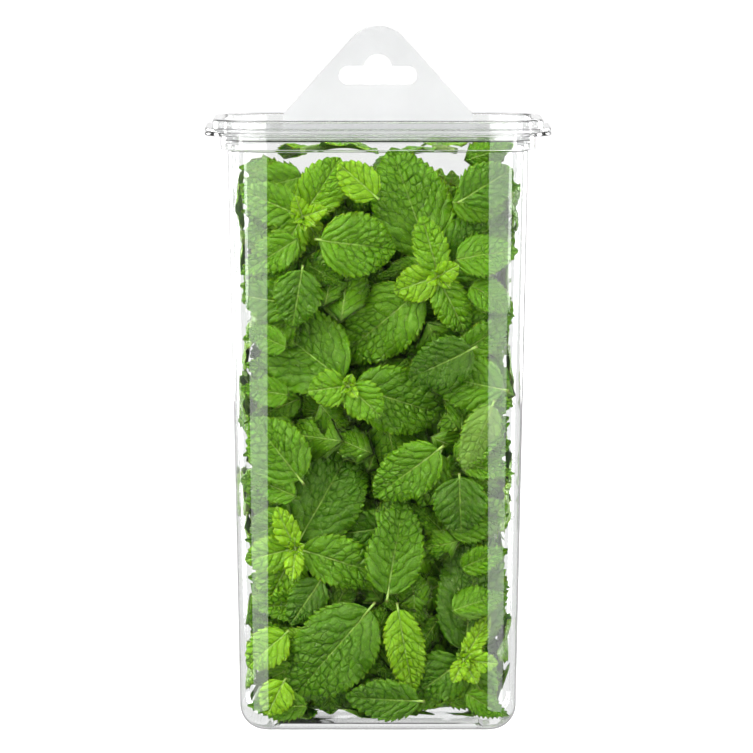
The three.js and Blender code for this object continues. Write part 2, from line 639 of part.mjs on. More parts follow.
const CLEAR = { roughness: 0.05, metalness: 0, transparent: true, opacity: 0.3 };
const tubPlastic = new THREE.MeshStandardMaterial({ color: 0xf2f5f4, ...CLEAR });
const lidPlastic = new THREE.MeshStandardMaterial({ color: 0xf2f5f4, ...CLEAR });
const tabPlastic = new THREE.MeshStandardMaterial({ color: 0xf3f3f3, roughness: 0.4, transparent: true, opacity: 0.7 });
const mintGreen = new THREE.MeshStandardMaterial({ color: 0x4f8f1f, roughness: 0.55, metalness: 0 });

const pack = new THREE.Group();
function addMesh(name, geometry, material) {
  const mesh = new THREE.Mesh(geometry, material);
  mesh.name = name;
  pack.add(mesh);
  return mesh;
}

addMesh("tub", tubGeometry(), tubPlastic);
addMesh("lid", lidGeometry(), lidPlastic);
addMesh("hang_tab", tabGeometry(), tabPlastic);

const room = new Room();
for (const { name, wall, across, rise, piece, spin } of bunch()) {
  const frame = WALLS[wall];
  const turn = new THREE.Matrix4().makeBasis(...[frame.right, frame.up, frame.out].map((v) => new THREE.Vector3(...v)));
  const geometry = pieceSolid(piece, spin).applyMatrix4(turn);
  const points = surfacePoints(geometry);
  const place = settle(room, points, frame, across, rise);
  if (!place) throw new Error(`the tub has no room for ${name}`);
  room.take(points, place.at);
  addMesh(name, geometry, mintGreen).position.copy(place.at);
}

export default pack;
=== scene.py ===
"""Fresh mint in a clear hanging tub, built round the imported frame.

Every shoot, sprig, leaf pair and larger leaf takes the place of its solid in the frame, and small
loose leaves fill the gaps between them. Lengths in the tables are millimetres, and objects are in
metres, in the frame's own axes.
"""

import json
import math

import bpy
import numpy as np
from bpy.props import FloatProperty, FloatVectorProperty, IntProperty, PointerProperty
from mathutils import Matrix, Vector

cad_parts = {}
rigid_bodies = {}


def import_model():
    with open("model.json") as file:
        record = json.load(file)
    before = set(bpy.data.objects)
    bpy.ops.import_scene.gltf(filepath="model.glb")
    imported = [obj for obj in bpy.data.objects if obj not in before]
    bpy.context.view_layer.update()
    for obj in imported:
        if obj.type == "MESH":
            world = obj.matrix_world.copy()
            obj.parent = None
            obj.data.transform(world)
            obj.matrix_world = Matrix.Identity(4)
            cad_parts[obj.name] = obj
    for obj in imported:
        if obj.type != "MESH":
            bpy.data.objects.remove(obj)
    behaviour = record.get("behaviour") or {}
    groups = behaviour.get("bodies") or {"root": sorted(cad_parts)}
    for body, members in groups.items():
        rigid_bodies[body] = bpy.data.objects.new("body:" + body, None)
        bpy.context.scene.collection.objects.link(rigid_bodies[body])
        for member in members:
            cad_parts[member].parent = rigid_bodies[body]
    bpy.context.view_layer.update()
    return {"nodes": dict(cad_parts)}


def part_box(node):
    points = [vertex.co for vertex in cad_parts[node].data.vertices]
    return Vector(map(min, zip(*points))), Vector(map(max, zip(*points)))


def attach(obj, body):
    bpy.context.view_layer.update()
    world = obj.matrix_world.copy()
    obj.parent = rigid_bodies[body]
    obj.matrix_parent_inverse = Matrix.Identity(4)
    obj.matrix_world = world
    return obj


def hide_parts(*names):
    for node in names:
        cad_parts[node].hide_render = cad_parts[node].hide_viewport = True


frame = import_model()

bl_info = {
    "name": "Mint in a hanging tub",
    "version": (1, 0, 0),
    "blender": (4, 5, 0),
    "location": "View3D > Sidebar > Mint",
    "description": "Builds a bunch of mint in its clear hanging tub",
    "category": "Object",
}

MM = 0.001
ROOT = "root"

# ---- sizes of the pack, in millimetres ----
SHEET = 0.6
BODY_WIDTH = 120.6
BODY_DEPTH = 80
BODY_HEIGHT = 233.6
DRAFT = 4.8
CORNER = 17
FOOT_FILLET = 10
FOOT_RING = 3.5
KICK_UP = 1.5
COLLAR_STEP = 2.9
COLLAR_HEIGHT = 6.2
FLANGE_REACH = 9.3
FLANGE_THICK = 1.4
FIT_GAP = 0.3
PLUG_DEPTH = 3.6
PLUG_EASE = 0.5
RIM_HEIGHT = 3.4
RIM_REACH = 6.3
RIM_EASE = 0.9
PANEL_RISE = 1.2
PANEL_INSET = 12
MITRE = SHEET * math.tan(math.pi / 8)
COLLAR_FOOT = BODY_HEIGHT + 0.8
FLANGE_FOOT = COLLAR_FOOT + COLLAR_HEIGHT - 0.8
FLANGE_TOP = FLANGE_FOOT + FLANGE_THICK
LID_FLANGE = FLANGE_TOP + FIT_GAP
LID_FLANGE_TOP = LID_FLANGE + FLANGE_THICK
RIM_TOP = LID_FLANGE_TOP + RIM_HEIGHT
PANEL_UNDER = FLANGE_TOP - PLUG_DEPTH

# ---- sizes of the mint, in millimetres ----
STALK_WIDTH = 1.6
STALK_SHARE = 0.07
STALK_ROOT = 0.7
STEM_WIDTH = 2.4
STATIONS = (0, STALK_SHARE, 0.22, 0.44, 0.68, 0.87)
SOLID_THICK = 0.9
TIP_LEAVES = 6
LOOSE_LENGTH = 34
LOOSE_WIDTH = 20
EDGE_LAYERS = 4
EDGE_ROWS = 12
EDGE_OVERLAP = 0.24
FLOOR_TRIES = 60
FLOOR_OVERLAP = 0.04
GAP_OVERLAP = 0.02

# ---- scales of the leaf's own coordinates ----
VEIN_SCALE = 20
FIRST_VEIN = 20
CELL_WIDE = 21
CELL_LONG = 28

# ---- the studio: grey by how far ahead a ray looks, and lamps as place, size and watts ----
BACKDROP = ((0.0, 0.01), (0.1, 0.012), (0.3, 0.05), (0.52, 0.36), (0.93, 0.42), (0.98, 1.0))
LAMPS = {
    "key_softbox": ((-0.75, -0.8, 1.05), (0.35, 0.45), 20),
    "fill_softbox": ((0.9, -1.3, 0.45), (0.7, 1.0), 4),
    "sparkle": ((-0.42, -1.3, 0.85), (0.18, 0.22), 1.8),
    "top_softbox": ((0.1, -0.3, 1.3), (0.8, 0.5), 8),
    "back_softbox": ((0.5, 1.5, 1.2), (0.8, 0.8), 9),
    "rear_left": ((-1.0, 1.15, 0.35), (0.5, 0.8), 16),
    "rear_right": ((1.0, 1.15, 0.35), (0.5, 0.8), 16),
    "left_softbox": ((-1.3, -0.55, 0.3), (0.5, 0.8), 12),
    "right_softbox": ((1.3, -0.55, 0.3), (0.5, 0.8), 12),
}
FLOOR_REACH = 8.0
STRIP_GLOW = 2.6


def share(n):
    return n - math.floor(n)


def spread(i, low, high):
    return low + (high - low) * share((i + 1) * 0.618034)


def stand(name, mesh):
    """A new object in the scene that holds the mesh."""
    piece = bpy.data.objects.new(name, mesh)
    bpy.context.scene.collection.objects.link(piece)
    return piece


# ------------------------------------------------------------------ how the mint is arranged


def leaf(heading, length, width, **more):
    """A leaf's numbers: the way it points, its length and width, then how it lies."""
    one = dict(heading=heading, length=length, width=width, lean=4, roll=0, bend=22, fold=9, twist=0)
    one.update(base=(0, 0, 0), tone=None)
    one.update(more)
    return one


def shoot(stem_length, rows):
    """A shoot that points out of its wall, with its leaves open round the tip."""
    leaves = []
    for row in rows:
        heading, length, width, lean, below = row[:5]
        more = row[5] if len(row) > 5 else {}
        lie = {"lean": lean, "bend": 30, "base": (0, 0, -below), **more}
        leaves.append(leaf(heading, length, width, **lie))
    stem = [(0, 0, 0), (0.6, -0.8, -stem_length / 2), (2.4, -2.2, -stem_length)]
    return {"stem": stem, "leaves": leaves, "tip": True}


def flat_sprig(number, stem_length, pairs, leaf_length, gape=55):
    """A cut sprig that lies along its wall, with its leaf pairs turned flat against it."""
    sway = spread(number, -5, 5)
    leaves = []
    for k in range(pairs):
        down = stem_length * (0.06 + (0.8 * k) / pairs)
        size = leaf_length * (0.62 + 0.38 * min(1, k / 1.6))
        for hand in (-1, 1):
            leaves.append(
                leaf(
                    hand * gape * spread(number + 3 * k + hand, 0.77, 1.23),
                    size * spread(k + hand + number, 0.92, 1.08),
                    size * 0.58,
                    lean=-9 if k % 2 else 11,
                    bend=spread(number + k, 16, 34),
                    twist=hand * spread(k + number, -8, 12),
                    base=(sway * math.sin(math.pi * down / stem_length), -down, 0),
                )
            )
    leaves.append(leaf(spread(number, -14, 14), leaf_length * 0.42, leaf_length * 0.24, lean=8))
    stem = [(sway * math.sin(math.pi * t), -t * stem_length, 0) for t in (0, 0.25, 0.5, 0.75, 1)]
    return {"stem": stem, "leaves": leaves}


def leaf_pair(number, leaf_length):
    """Two opposite leaves with the short piece of stem that they grow on."""
    opening = spread(number, 118, 168)
    leaves = [
        leaf(
            hand * opening / 2,
            leaf_length * spread(number + hand, 0.9, 1.06),
            leaf_length * 0.6,
            lean=3 + 5 * hand,
            bend=spread(number + hand, 14, 32),
            twist=7 * hand,
        )
        for hand in (-1, 1)
    ]
    return {"stem": [(0, 2, 0), (0.3, -4, -0.4), (0.9, -9, -1.2)], "leaves": leaves}


def crossed_pairs(number, leaf_length):
    """The top of a shoot, seen end on: a large pair with a smaller pair across it."""
    turn = spread(number, -12, 12)
    return shoot(
        12,
        [
            (turn + 90, leaf_length * 0.7, leaf_length * 0.44, 12, 0),
            (turn - 90, leaf_length * 0.66, leaf_length * 0.42, 12, 0),
            (turn, leaf_length, leaf_length * 0.62, 3, 5),
            (turn + 180, leaf_length * 0.96, leaf_length * 0.6, 3, 5),
        ],
    )


def loose_leaf(heading, length, width, **more):
    return {"leaves": [leaf(heading, length, width, **more)]}


WALLS = {
    "front": ((1, 0, 0), (0, 0, 1), (0, -1, 0)),
    "back": ((-1, 0, 0), (0, 0, 1), (0, 1, 0)),
    "left": ((0, -1, 0), (0, 0, 1), (-1, 0, 0)),
    "right": ((0, 1, 0), (0, 0, 1), (1, 0, 0)),
    "top": ((1, 0, 0), (0, 1, 0), (0, 0, 1)),
    "bottom": ((-1, 0, 0), (0, 1, 0), (0, 0, -1)),
}


def front_shoots():
    return {
        "front_shoot_1": shoot(15, [
            (-18, 11, 7, 42, 0), (70, 12, 7, 36, 0),
            (-67, 28, 17, 10, 3), (211, 28, 15, 4, 3),
            (33, 29, 19, 8, 7), (57, 28, 12, 3, 9, {"roll": 24}),
            (146, 16, 9, 6, 7),
        ]),
        "front_shoot_2": shoot(15, [
            (60, 11, 9, 38, 0), (-120, 7, 5, 45, 0),
            (-15, 26, 14, 12, 3), (250, 20, 15, 10, 3),
            (155, 27, 15, 8, 4), (48, 37, 25, 5, 7),
            (125, 32, 19, -3, 10, {"tone": 0.2}),
        ]),
        "front_shoot_3": shoot(16, [
            (-98, 17, 15, 10, 0, {"bend": 12, "tone": 0.62}), (133, 19, 16, 8, 0, {"bend": 12, "tone": 0.55}),
            (20, 7, 5, 50, 0),
            (-52, 47, 34, 0, 6, {"bend": 34, "tone": 0.38}), (108, 45, 27, 2, 6, {"bend": 32, "tone": 0.42}),
        ]),
        "front_shoot_4": shoot(15, [
            (186, 14, 8, 30, 0, {"tone": 0.95}), (-24, 20, 10, 24, 0, {"tone": 0.85}),
            (107, 43, 20, 5, 2, {"tone": 0.5}), (-104, 22, 15, 10, 3, {"tone": 0.7}),
            (29, 52, 32, 2, 6, {"bend": 20, "tone": 0.3}), (206, 28, 20, 4, 6, {"tone": 0.6}),
        ]),
        "front_shoot_5": shoot(13, [
            (205, 11, 7, 26, 0, {"tone": 0.95}), (30, 22, 8, 16, 1, {"tone": 0.9}),
            (96, 15, 9, 20, 1, {"tone": 0.8}), (150, 12, 8, 22, 1, {"tone": 0.9}),
            (7, 57, 28, 1, 5, {"bend": 18, "tone": 0.16}), (232, 25, 20, 4, 4, {"tone": 0.3}),
            (152, 24, 17, 4, 6, {"tone": 0.45}),
        ]),
    }


def front_leaves():
    return [
        loose_leaf(220, 54, 32, bend=26, fold=6, lean=2, tone=0.34),
        loose_leaf(230, 49, 28, bend=24, lean=0, tone=0.46),
        loose_leaf(98, 34, 26, bend=32, lean=6, tone=0.5),
        loose_leaf(-19, 50, 32, bend=26, lean=4, fold=5, tone=0.44),
        loose_leaf(170, 38, 16, twist=20, bend=16, fold=14, tone=0.78),
        loose_leaf(9, 42, 23, twist=-12, bend=16, fold=14, tone=0.4),
        loose_leaf(233, 36, 21, bend=28, tone=0.42),
        loose_leaf(-78, 33, 22, bend=20, tone=0.4),
        loose_leaf(201, 32, 15, roll=168, bend=-18, fold=12, tone=0.45),
        loose_leaf(-98, 30, 17, bend=14, twist=10, tone=0.28),
        loose_leaf(190, 26, 19, bend=18, lean=0, tone=0.3),
        loose_leaf(58, 26, 19, bend=18, tone=0.3),
        loose_leaf(195, 26, 14, bend=26, roll=-20, tone=0.5),
        loose_leaf(178, 25, 22, bend=18, tone=0.22),
        loose_leaf(230, 23, 16, bend=20, roll=14, tone=0.75),
        loose_leaf(-88, 32, 17, bend=12, roll=-12, tone=0.3),
        loose_leaf(247, 24, 16, bend=16, tone=0.36),
        loose_leaf(207, 17, 14, bend=16, tone=0.85),
        loose_leaf(-80, 22, 17, bend=20, tone=0.35),
        loose_leaf(-38, 34, 24, bend=16, twist=10, tone=0.45),
        loose_leaf(214, 24, 15, bend=16, tone=0.2),
        loose_leaf(244, 31, 20, bend=22, tone=0.12),
        loose_leaf(-48, 22, 15, bend=18, tone=0.8),
    ]


def bunch():
    """Every piece of mint as name, wall, shape and turn on its wall."""
    pieces = [(name, "front", shape, 0) for name, shape in front_shoots().items()]
    pieces += [(f"front_leaf_{i:02d}", "front", shape, 0) for i, shape in enumerate(front_leaves(), 1)]
    for i in range(4):
        pieces.append((f"left_pair_{i + 1}", "left", leaf_pair(i + 2, 31), 20 - 150 * i))
        pieces.append((f"right_pair_{i + 1}", "right", leaf_pair(i + 9, 31), 190 + 130 * i))
    for i in range(4):
        side = 1 if i % 2 else -1
        pieces.append((f"back_sprig_{i + 1}", "back", flat_sprig(i + 1, 84, 4, 36.5), side * (9 - 3.9 * i)))
    for i in range(2):
        side = 1 if i % 2 else -1
        pieces.append((f"floor_pair_{i + 1}", "bottom", leaf_pair(i + 20, 33), 70 * side))
        pieces.append((f"top_pair_{i + 1}", "top", leaf_pair(i + 31, 33), -50 * side))
    for i in range(3):
        pieces.append((f"core_sprig_{i + 1}", "back", flat_sprig(i + 7, 88, 3, 34, 38), 12 * (i - 1)))
    for i in range(6):
        pieces.append((f"inner_shoot_{i + 1}", "front", crossed_pairs(i + 40, 34), 137.5 * i))
    for i in range(4):
        pieces.append((f"back_shoot_{i + 1}", "back", crossed_pairs(i + 50, 34), 100 + 137.5 * i))
    return pieces


# ------------------------------------------------------------------ leaf geometry


def blade_half(s):
    """Half the blade's width at a share s of its length, as a share of its full width."""
    peak = 0.42
    s = np.clip(s, 0, 1)
    return 0.5 * (s**0.55 * (1 - s) ** 0.76) / (peak**0.55 * (1 - peak) ** 0.76)


def place_on_blade(one, t, out, lift):
    """Points at t along a leaf, out to its side and lifted off its middle surface."""
    bend = math.radians(one["bend"]) or 1e-6
    a = bend * t
    along = one["length"] * np.sin(a) / bend
    drop = one["length"] * (1 - np.cos(a)) / bend
    smooth = np.tanh(out / 1.2)
    tilt = math.radians(one["fold"]) * smooth + math.radians(one["twist"]) * t
    across = out * np.cos(tilt) - lift * np.sin(tilt)
    up = out * np.sin(tilt) + lift * np.cos(tilt)
    return np.stack([across, along + up * np.sin(a), -drop + up * np.cos(a)], axis=-1)


def leaf_turn(one):
    """Turns a leaf in its wall's frame: X right, Y up and Z out of the wall."""
    h, l, r = (math.radians(one[k]) for k in ("heading", "lean", "roll"))
    flat = np.array([math.sin(h), math.cos(h), 0])
    out = np.array([0, 0, 1.0])
    grow = flat * math.cos(l) + out * math.sin(l)
    face = out * math.cos(l) - flat * math.sin(l)
    side = np.cross(grow, face)
    turned_side = side * math.cos(r) - face * math.sin(r)
    turned_face = face * math.cos(r) + side * math.sin(r)
    return np.stack([turned_side, grow, turned_face], axis=1)


def solid_corners(one):
    """The corners of the leaf's plain solid, which give its place in the frame."""
    points = []
    bend = math.radians(one["bend"]) or 1e-6
    for t in STATIONS:
        s = (t - STALK_SHARE) / (1 - STALK_SHARE)
        half = max(STALK_WIDTH / 2, one["width"] * float(blade_half(s)) if s > 0 else 0)
        a = bend * t
        along = one["length"] * math.sin(a) / bend
        drop = one["length"] * (1 - math.cos(a)) / bend
        for side in (1, -1):
            angle = side * math.radians(one["fold"]) + math.radians(one["twist"]) * t
            across, lift = half * side * math.cos(angle), half * side * math.sin(angle)
            points.append((across, along + lift * math.sin(a), -drop + lift * math.cos(a)))
            points.append((0, along, -drop + side * SOLID_THICK / 2))
    points.append((0, one["length"] * math.sin(bend) / bend, -one["length"] * (1 - math.cos(bend)) / bend))
    return np.array(points)


def in_piece(one, points):
    """From a leaf's own frame to its piece's."""
    rooted = points - np.array([0, STALK_ROOT, 0])
    return rooted @ leaf_turn(one).T + np.array(one["base"], float)


def wall_matrix(wall, spin):
    """Turns a piece on its wall and into the frame's axes."""
    c, s = math.cos(math.radians(spin)), math.sin(math.radians(spin))
    turn = np.array([[c, s, 0], [-s, c, 0], [0, 0, 1]])
    return np.array(WALLS[wall], float).T @ turn


class MeshParts:
    """Collects closed bodies with their vein coordinates and tones into one mesh."""

    def __init__(self):
        self.points, self.faces, self.kinds = [], [], []
        self.veins, self.flat, self.tones, self.under, self.cut = [], [], [], [], []
        self.count = 0

    def add(self, points, faces, kind, veins=None, flat=None, tone=0.5, under=0.0, cut=0.0):
        n = len(points)
        self.points.append(np.asarray(points, float))
        self.faces += [tuple(self.count + i for i in f) for f in faces]
        self.kinds += [kind] * len(faces)
        self.veins.append(np.zeros((n, 2)) if veins is None else veins)
        self.flat.append(np.zeros((n, 2)) if flat is None else flat)
        self.tones.append(np.full(n, tone) if np.isscalar(tone) else tone)
        self.under.append(np.full(n, under) if np.isscalar(under) else under)
        self.cut.append(np.full(n, cut) if np.isscalar(cut) else cut)
        self.count += n

    def world_points(self):
        return np.concatenate(self.points)

    def build(self, name, materials):
        mesh = bpy.data.meshes.new(name)
        mesh.from_pydata((self.world_points() * MM).tolist(), [], self.faces)
        loops = np.zeros(len(mesh.loops), np.int32)
        mesh.loops.foreach_get("vertex_index", loops)
        for layer, values in (("veins", self.veins), ("flat", self.flat)):
            uv = mesh.uv_layers.new(name=layer)
            uv.data.foreach_set("uv", np.concatenate(values)[loops].astype(np.float32).ravel())
        for label, values in (("tone", self.tones), ("under", self.under), ("cut", self.cut)):
            attribute = mesh.attributes.new(label, "FLOAT", "POINT")
            attribute.data.foreach_set("value", np.concatenate(values).astype(np.float32))
        for material in materials:
            mesh.materials.append(material)
        mesh.polygons.foreach_set("material_index", np.array(self.kinds, np.int32))
        mesh.polygons.foreach_set("use_smooth", np.ones(len(mesh.polygons), bool))
        mesh.update()
        return stand(name, mesh)


TOOTH_PHASES = ((0.0, 0.0, 0.0), (0.36, 0.5, 0.02), (0.7, 0.84, 0.06), (0.88, 1.0, 0.09))
COARSE_PHASES = ((0.0, 0.0, 0.0), (0.82, 1.0, 0.06))


def leaf_blade(one, detail, mint, seed):
    """A leaf blade as a closed thin body with teeth, quilting and a raised rib below.

    Returns its points, faces, vein and cell coordinates, which points lie below and which on the rim.
    """
    rng = np.random.default_rng(seed)
    blade_length = one["length"] * (1 - STALK_SHARE)
    teeth = int(np.clip(round(blade_length / mint.tooth_pitch), 6, 22))
    phases = TOOTH_PHASES if detail > 1 else COARSE_PHASES
    columns = (4, 8, 20, 1)[detail]
    if detail < 0:
        teeth, phases = 4, COARSE_PHASES
    rows = [((k + p + f) / teeth, d) for k in range(teeth) for p, d, f in phases][1:]
    s = np.array([r[0] for r in rows if r[0] < 0.995])
    tooth = np.array([r[1] for r in rows if r[0] < 0.995])
    u = 1 - (1 - np.arange(columns + 1) / columns) ** 1.12
    u = np.concatenate([-u[:0:-1], u])
    S, U = np.meshgrid(s, u, indexing="ij")
    side = np.abs(U)

    half = one["width"] * blade_half(S) * (1 - one.get("point", 0) * np.clip((S - 0.45) / 0.55, 0, 1))
    reach = mint.tooth_depth * one.get("jag", 1) * np.clip(S / 0.16, 0, 1) ** 2
    reach = reach * np.clip((1 - S) / 0.12, 0.25, 1)
    reach = reach * min(1, one["length"] / 26) * rng.uniform(0.75, 1.25, (len(s), 1))
    edge = np.clip((side - 0.72) / 0.28, 0, 1) ** 1.5
    out = np.sign(U) * (side * half + reach * tooth[:, None] * edge - 0.35 * reach * edge)
    x = np.abs(out)
    y = S * blade_length

    pitch = float(np.clip(blade_length / mint.vein_pairs, 4.0, 6.6))
    drift = 0.16 * np.sin(0.55 * x + rng.uniform(0, 6)) + 0.1 * np.sin(0.9 * y + rng.uniform(0, 6))
    q = (y - 0.8 * x - 0.02 * x * x) / pitch + FIRST_VEIN + drift * (U > 0) - drift * (U < 0) + 0.4 * (U > 0)
    quilt = mint.quilt_depth * one.get("quilt", 1) * min(1.2, one["width"] / 20)
    inner = np.clip(x / 1.4, 0, 1) * (1 - side**5) * np.clip(S / 0.06, 0, 1) * np.clip((1 - S) / 0.08, 0, 1)
    pillow = np.abs(np.sin(np.pi * q)) ** 0.9
    ladder = np.sin(np.pi * (x / 3.3 + 0.37 * np.floor(q))) ** 2
    relief = quilt * inner * (0.8 * (pillow - 0.6) + 0.3 * pillow * (ladder - 0.5))
    groove = -0.35 * np.exp(-((x / 0.55) ** 2)) * (1 - S)
    a1, a2, a3 = rng.uniform(0, 2 * np.pi, 3)
    ripple = 0.11 * half * side**2.2 * np.sin(2 * np.pi * (2.1 * S) + a1 + (U > 0) * 1.9)
    ripple += 0.05 * half * side**3 * np.sin(2 * np.pi * (4.3 * S) + a2 + (U > 0) * 2.7)
    camber = 0.3 * half * (side - side**2) - 0.1 * half * side**4
    sway = 0.012 * one["length"] * np.sin(2 * np.pi * S * 0.9 + a3)
    lift = relief + groove + ripple + camber + sway * 0.6
    t = STALK_SHARE + (1 - STALK_SHARE) * S
    top = place_on_blade(one, t, out + 0.25 * sway, lift)
    thick = 0.34 * (1 - side**8) + 0.75 * np.exp(-((x / 0.7) ** 2)) * (1 - 0.85 * S)
    every = (1, 2, 5, 1)[detail]
    keep = sorted({*range(columns % every, 2 * columns + 1, every), 0, columns, 2 * columns})
    low = place_on_blade(one, t, out + 0.25 * sway, lift - thick)[:, keep[1:-1]]

    m, n = S.shape
    w = len(keep) - 2
    base = place_on_blade(one, np.array([STALK_SHARE]), np.zeros(1), np.zeros(1))
    tip = place_on_blade(one, np.array([1.0]), np.zeros(1), np.zeros(1))
    points = np.concatenate([top.reshape(-1, 3), low.reshape(-1, 3), base, tip])
    lo, b, e = m * n, m * n + m * w, m * n + m * w + 1
    faces = []
    for i in range(m - 1):
        for j in range(n - 1):
            k = i * n + j
            faces.append((k, k + 1, k + n + 1, k + n))

    def below(i, c):
        if c == 0:
            return i * n
        if c == len(keep) - 1:
            return i * n + n - 1
        return lo + i * w + c - 1

    for i in range(m - 1):
        for c in range(len(keep) - 1):
            faces.append((below(i, c), below(i + 1, c), below(i + 1, c + 1), below(i, c + 1)))
    for j in range(n - 1):
        faces.append((j, b, j + 1))
        faces.append(((m - 1) * n + j, (m - 1) * n + j + 1, e))
    for c in range(len(keep) - 1):
        faces.append((below(0, c), below(0, c + 1), b))
        faces.append((below(m - 1, c), e, below(m - 1, c + 1)))

    def both(grid, at_base, at_tip):
        return np.concatenate([grid.reshape(-1), grid[:, keep[1:-1]].reshape(-1), [at_base, at_tip]])

    counts = both(q, FIRST_VEIN, FIRST_VEIN + blade_length / pitch)
    veins = np.stack([both(out / VEIN_SCALE, 0, 0), counts], 1)
    rim = np.concatenate([(side**14).reshape(-1), np.full(m * w, 0.1), [0.3, 0.6]])
    along = both((y - 0.25 * x) / CELL_LONG, 0, blade_length / CELL_LONG)
    flat = np.stack([both(x / CELL_WIDE, 0, 0) + seed % 97, along + seed % 89], 1)
    under = np.concatenate([np.zeros(m * n), np.ones(m * w), [0.5, 0.5]])
    return points, faces, veins, flat, under, rim


def tube(path, radii, sides=6):
    """A closed tube along a path, as points and faces."""
    path = np.asarray(path, float)
    ahead = np.gradient(path, axis=0)
    ahead /= np.linalg.norm(ahead, axis=1)[:, None]
    ref = np.array([1.0, 0, 0]) if abs(ahead[0][0]) < 0.8 else np.array([0, 1.0, 0])
    points = []
    for p, d, r in zip(path, ahead, radii):
        a = np.cross(d, ref)
        a /= np.linalg.norm(a)
        b = np.cross(d, a)
        for k in range(sides):
            w = 2 * math.pi * k / sides
            points.append(p + r * (math.cos(w) * a + math.sin(w) * b))
    faces = []
    n = len(path)
    for i in range(n - 1):
        for k in range(sides):
            j = (k + 1) % sides
            faces.append((i * sides + k, i * sides + j, (i + 1) * sides + j, (i + 1) * sides + k))
    faces.append(tuple(range(sides))[::-1])
    faces.append(tuple((n - 1) * sides + k for k in range(sides)))
    return np.array(points), faces


def stalk(one):
    """The leaf's stalk, from inside the stem into the start of the midrib."""
    t = np.array([0.0, STALK_SHARE * 0.5, STALK_SHARE, STALK_SHARE + 0.09])
    path = place_on_blade(one, t, np.zeros(4), np.array([0.0, 0, -0.1, -0.35]))
    thick = min(1, one["length"] / 30)
    return tube(path, np.array([0.9, 0.65, 0.6, 0.25]) * (0.4 + 0.4 * thick))


def smooth_path(points, steps):
    """A path through the given points, as a Catmull-Rom curve."""
    p = [np.array(q, float) for q in points]
    p = [2 * p[0] - p[1], *p, 2 * p[-1] - p[-2]]
    line = []
    for a, b, c, d in zip(p, p[1:], p[2:], p[3:]):
        for f in np.arange(steps) / steps:
            square, cube = (2 * a - 5 * b + 4 * c - d) * f**2, (3 * b - a - 3 * c + d) * f**3
            line.append(0.5 * (2 * b + (c - a) * f + square + cube))
    line.append(p[-2])
    return np.array(line)


# ------------------------------------------------------------------ Geometry Nodes


def node_group(name, inputs):
    tree = bpy.data.node_groups.new(name, "GeometryNodeTree")
    tree.interface.new_socket(name="Geometry", in_out="INPUT", socket_type="NodeSocketGeometry")
    for label, kind, value in inputs:
        item = tree.interface.new_socket(name=label, in_out="INPUT", socket_type=kind)
        if value is not None:
            item.default_value = value
    tree.interface.new_socket(name="Geometry", in_out="OUTPUT", socket_type="NodeSocketGeometry")
    return tree, tree.nodes.new("NodeGroupInput"), tree.nodes.new("NodeGroupOutput")


def wire(tree, rows):
    """Links nodes, from rows of source, its output, target and its input."""
    for source, output, target, socket in rows:
        tree.links.new(source.outputs[output], target.inputs[socket])
    return tree


def baked(piece, tree, values):
    """Runs a tree on a piece and returns the result as a plain mesh on a new object."""
    modifier = piece.modifiers.new(tree.name, "NODES")
    modifier.node_group = tree
    for item in tree.interface.items_tree:
        if item.in_out == "INPUT" and item.name in values:
            modifier[item.identifier] = values[item.name]
    bpy.context.view_layer.update()
    graph = bpy.context.evaluated_depsgraph_get()
    done = piece.evaluated_get(graph)
    mesh = bpy.data.meshes.new_from_object(done, preserve_all_data_layers=True, depsgraph=graph)
    name = piece.name
    bpy.data.objects.remove(piece)
    mesh.name = name
    return stand(name, mesh)


def stem_tree(material):
    """Sweeps a rounded square along every edge path."""
    tree, start, end = node_group(
        "Square mint stems",
        [("Width", "NodeSocketFloat", STEM_WIDTH * MM), ("Corner", "NodeSocketFloat", 0.5 * MM)],
    )
    new = tree.nodes.new
    curve = new("GeometryNodeMeshToCurve")
    profile = new("GeometryNodeCurvePrimitiveQuadrilateral")
    rounded = new("GeometryNodeFilletCurve")
    rounded.mode = "POLY"
    rounded.inputs["Count"].default_value = 2
    sweep = new("GeometryNodeCurveToMesh")
    sweep.inputs["Fill Caps"].default_value = True
    smooth = new("GeometryNodeSetShadeSmooth")
    real = new("GeometryNodeRealizeInstances")
    paint = new("GeometryNodeSetMaterial")
    paint.inputs["Material"].default_value = material
    return wire(tree, [
        (start, "Geometry", curve, "Mesh"),
        (start, "Width", profile, "Width"),
        (start, "Width", profile, "Height"),
        (profile, "Curve", rounded, "Curve"),
        (start, "Corner", rounded, "Radius"),
        (curve, "Curve", sweep, "Curve"),
        (rounded, "Curve", sweep, "Profile Curve"),
        (sweep, "Mesh", smooth, "Geometry"),
        (smooth, "Geometry", real, "Geometry"),
        (real, "Geometry", paint, "Geometry"),
        (paint, "Geometry", end, "Geometry"),
    ])


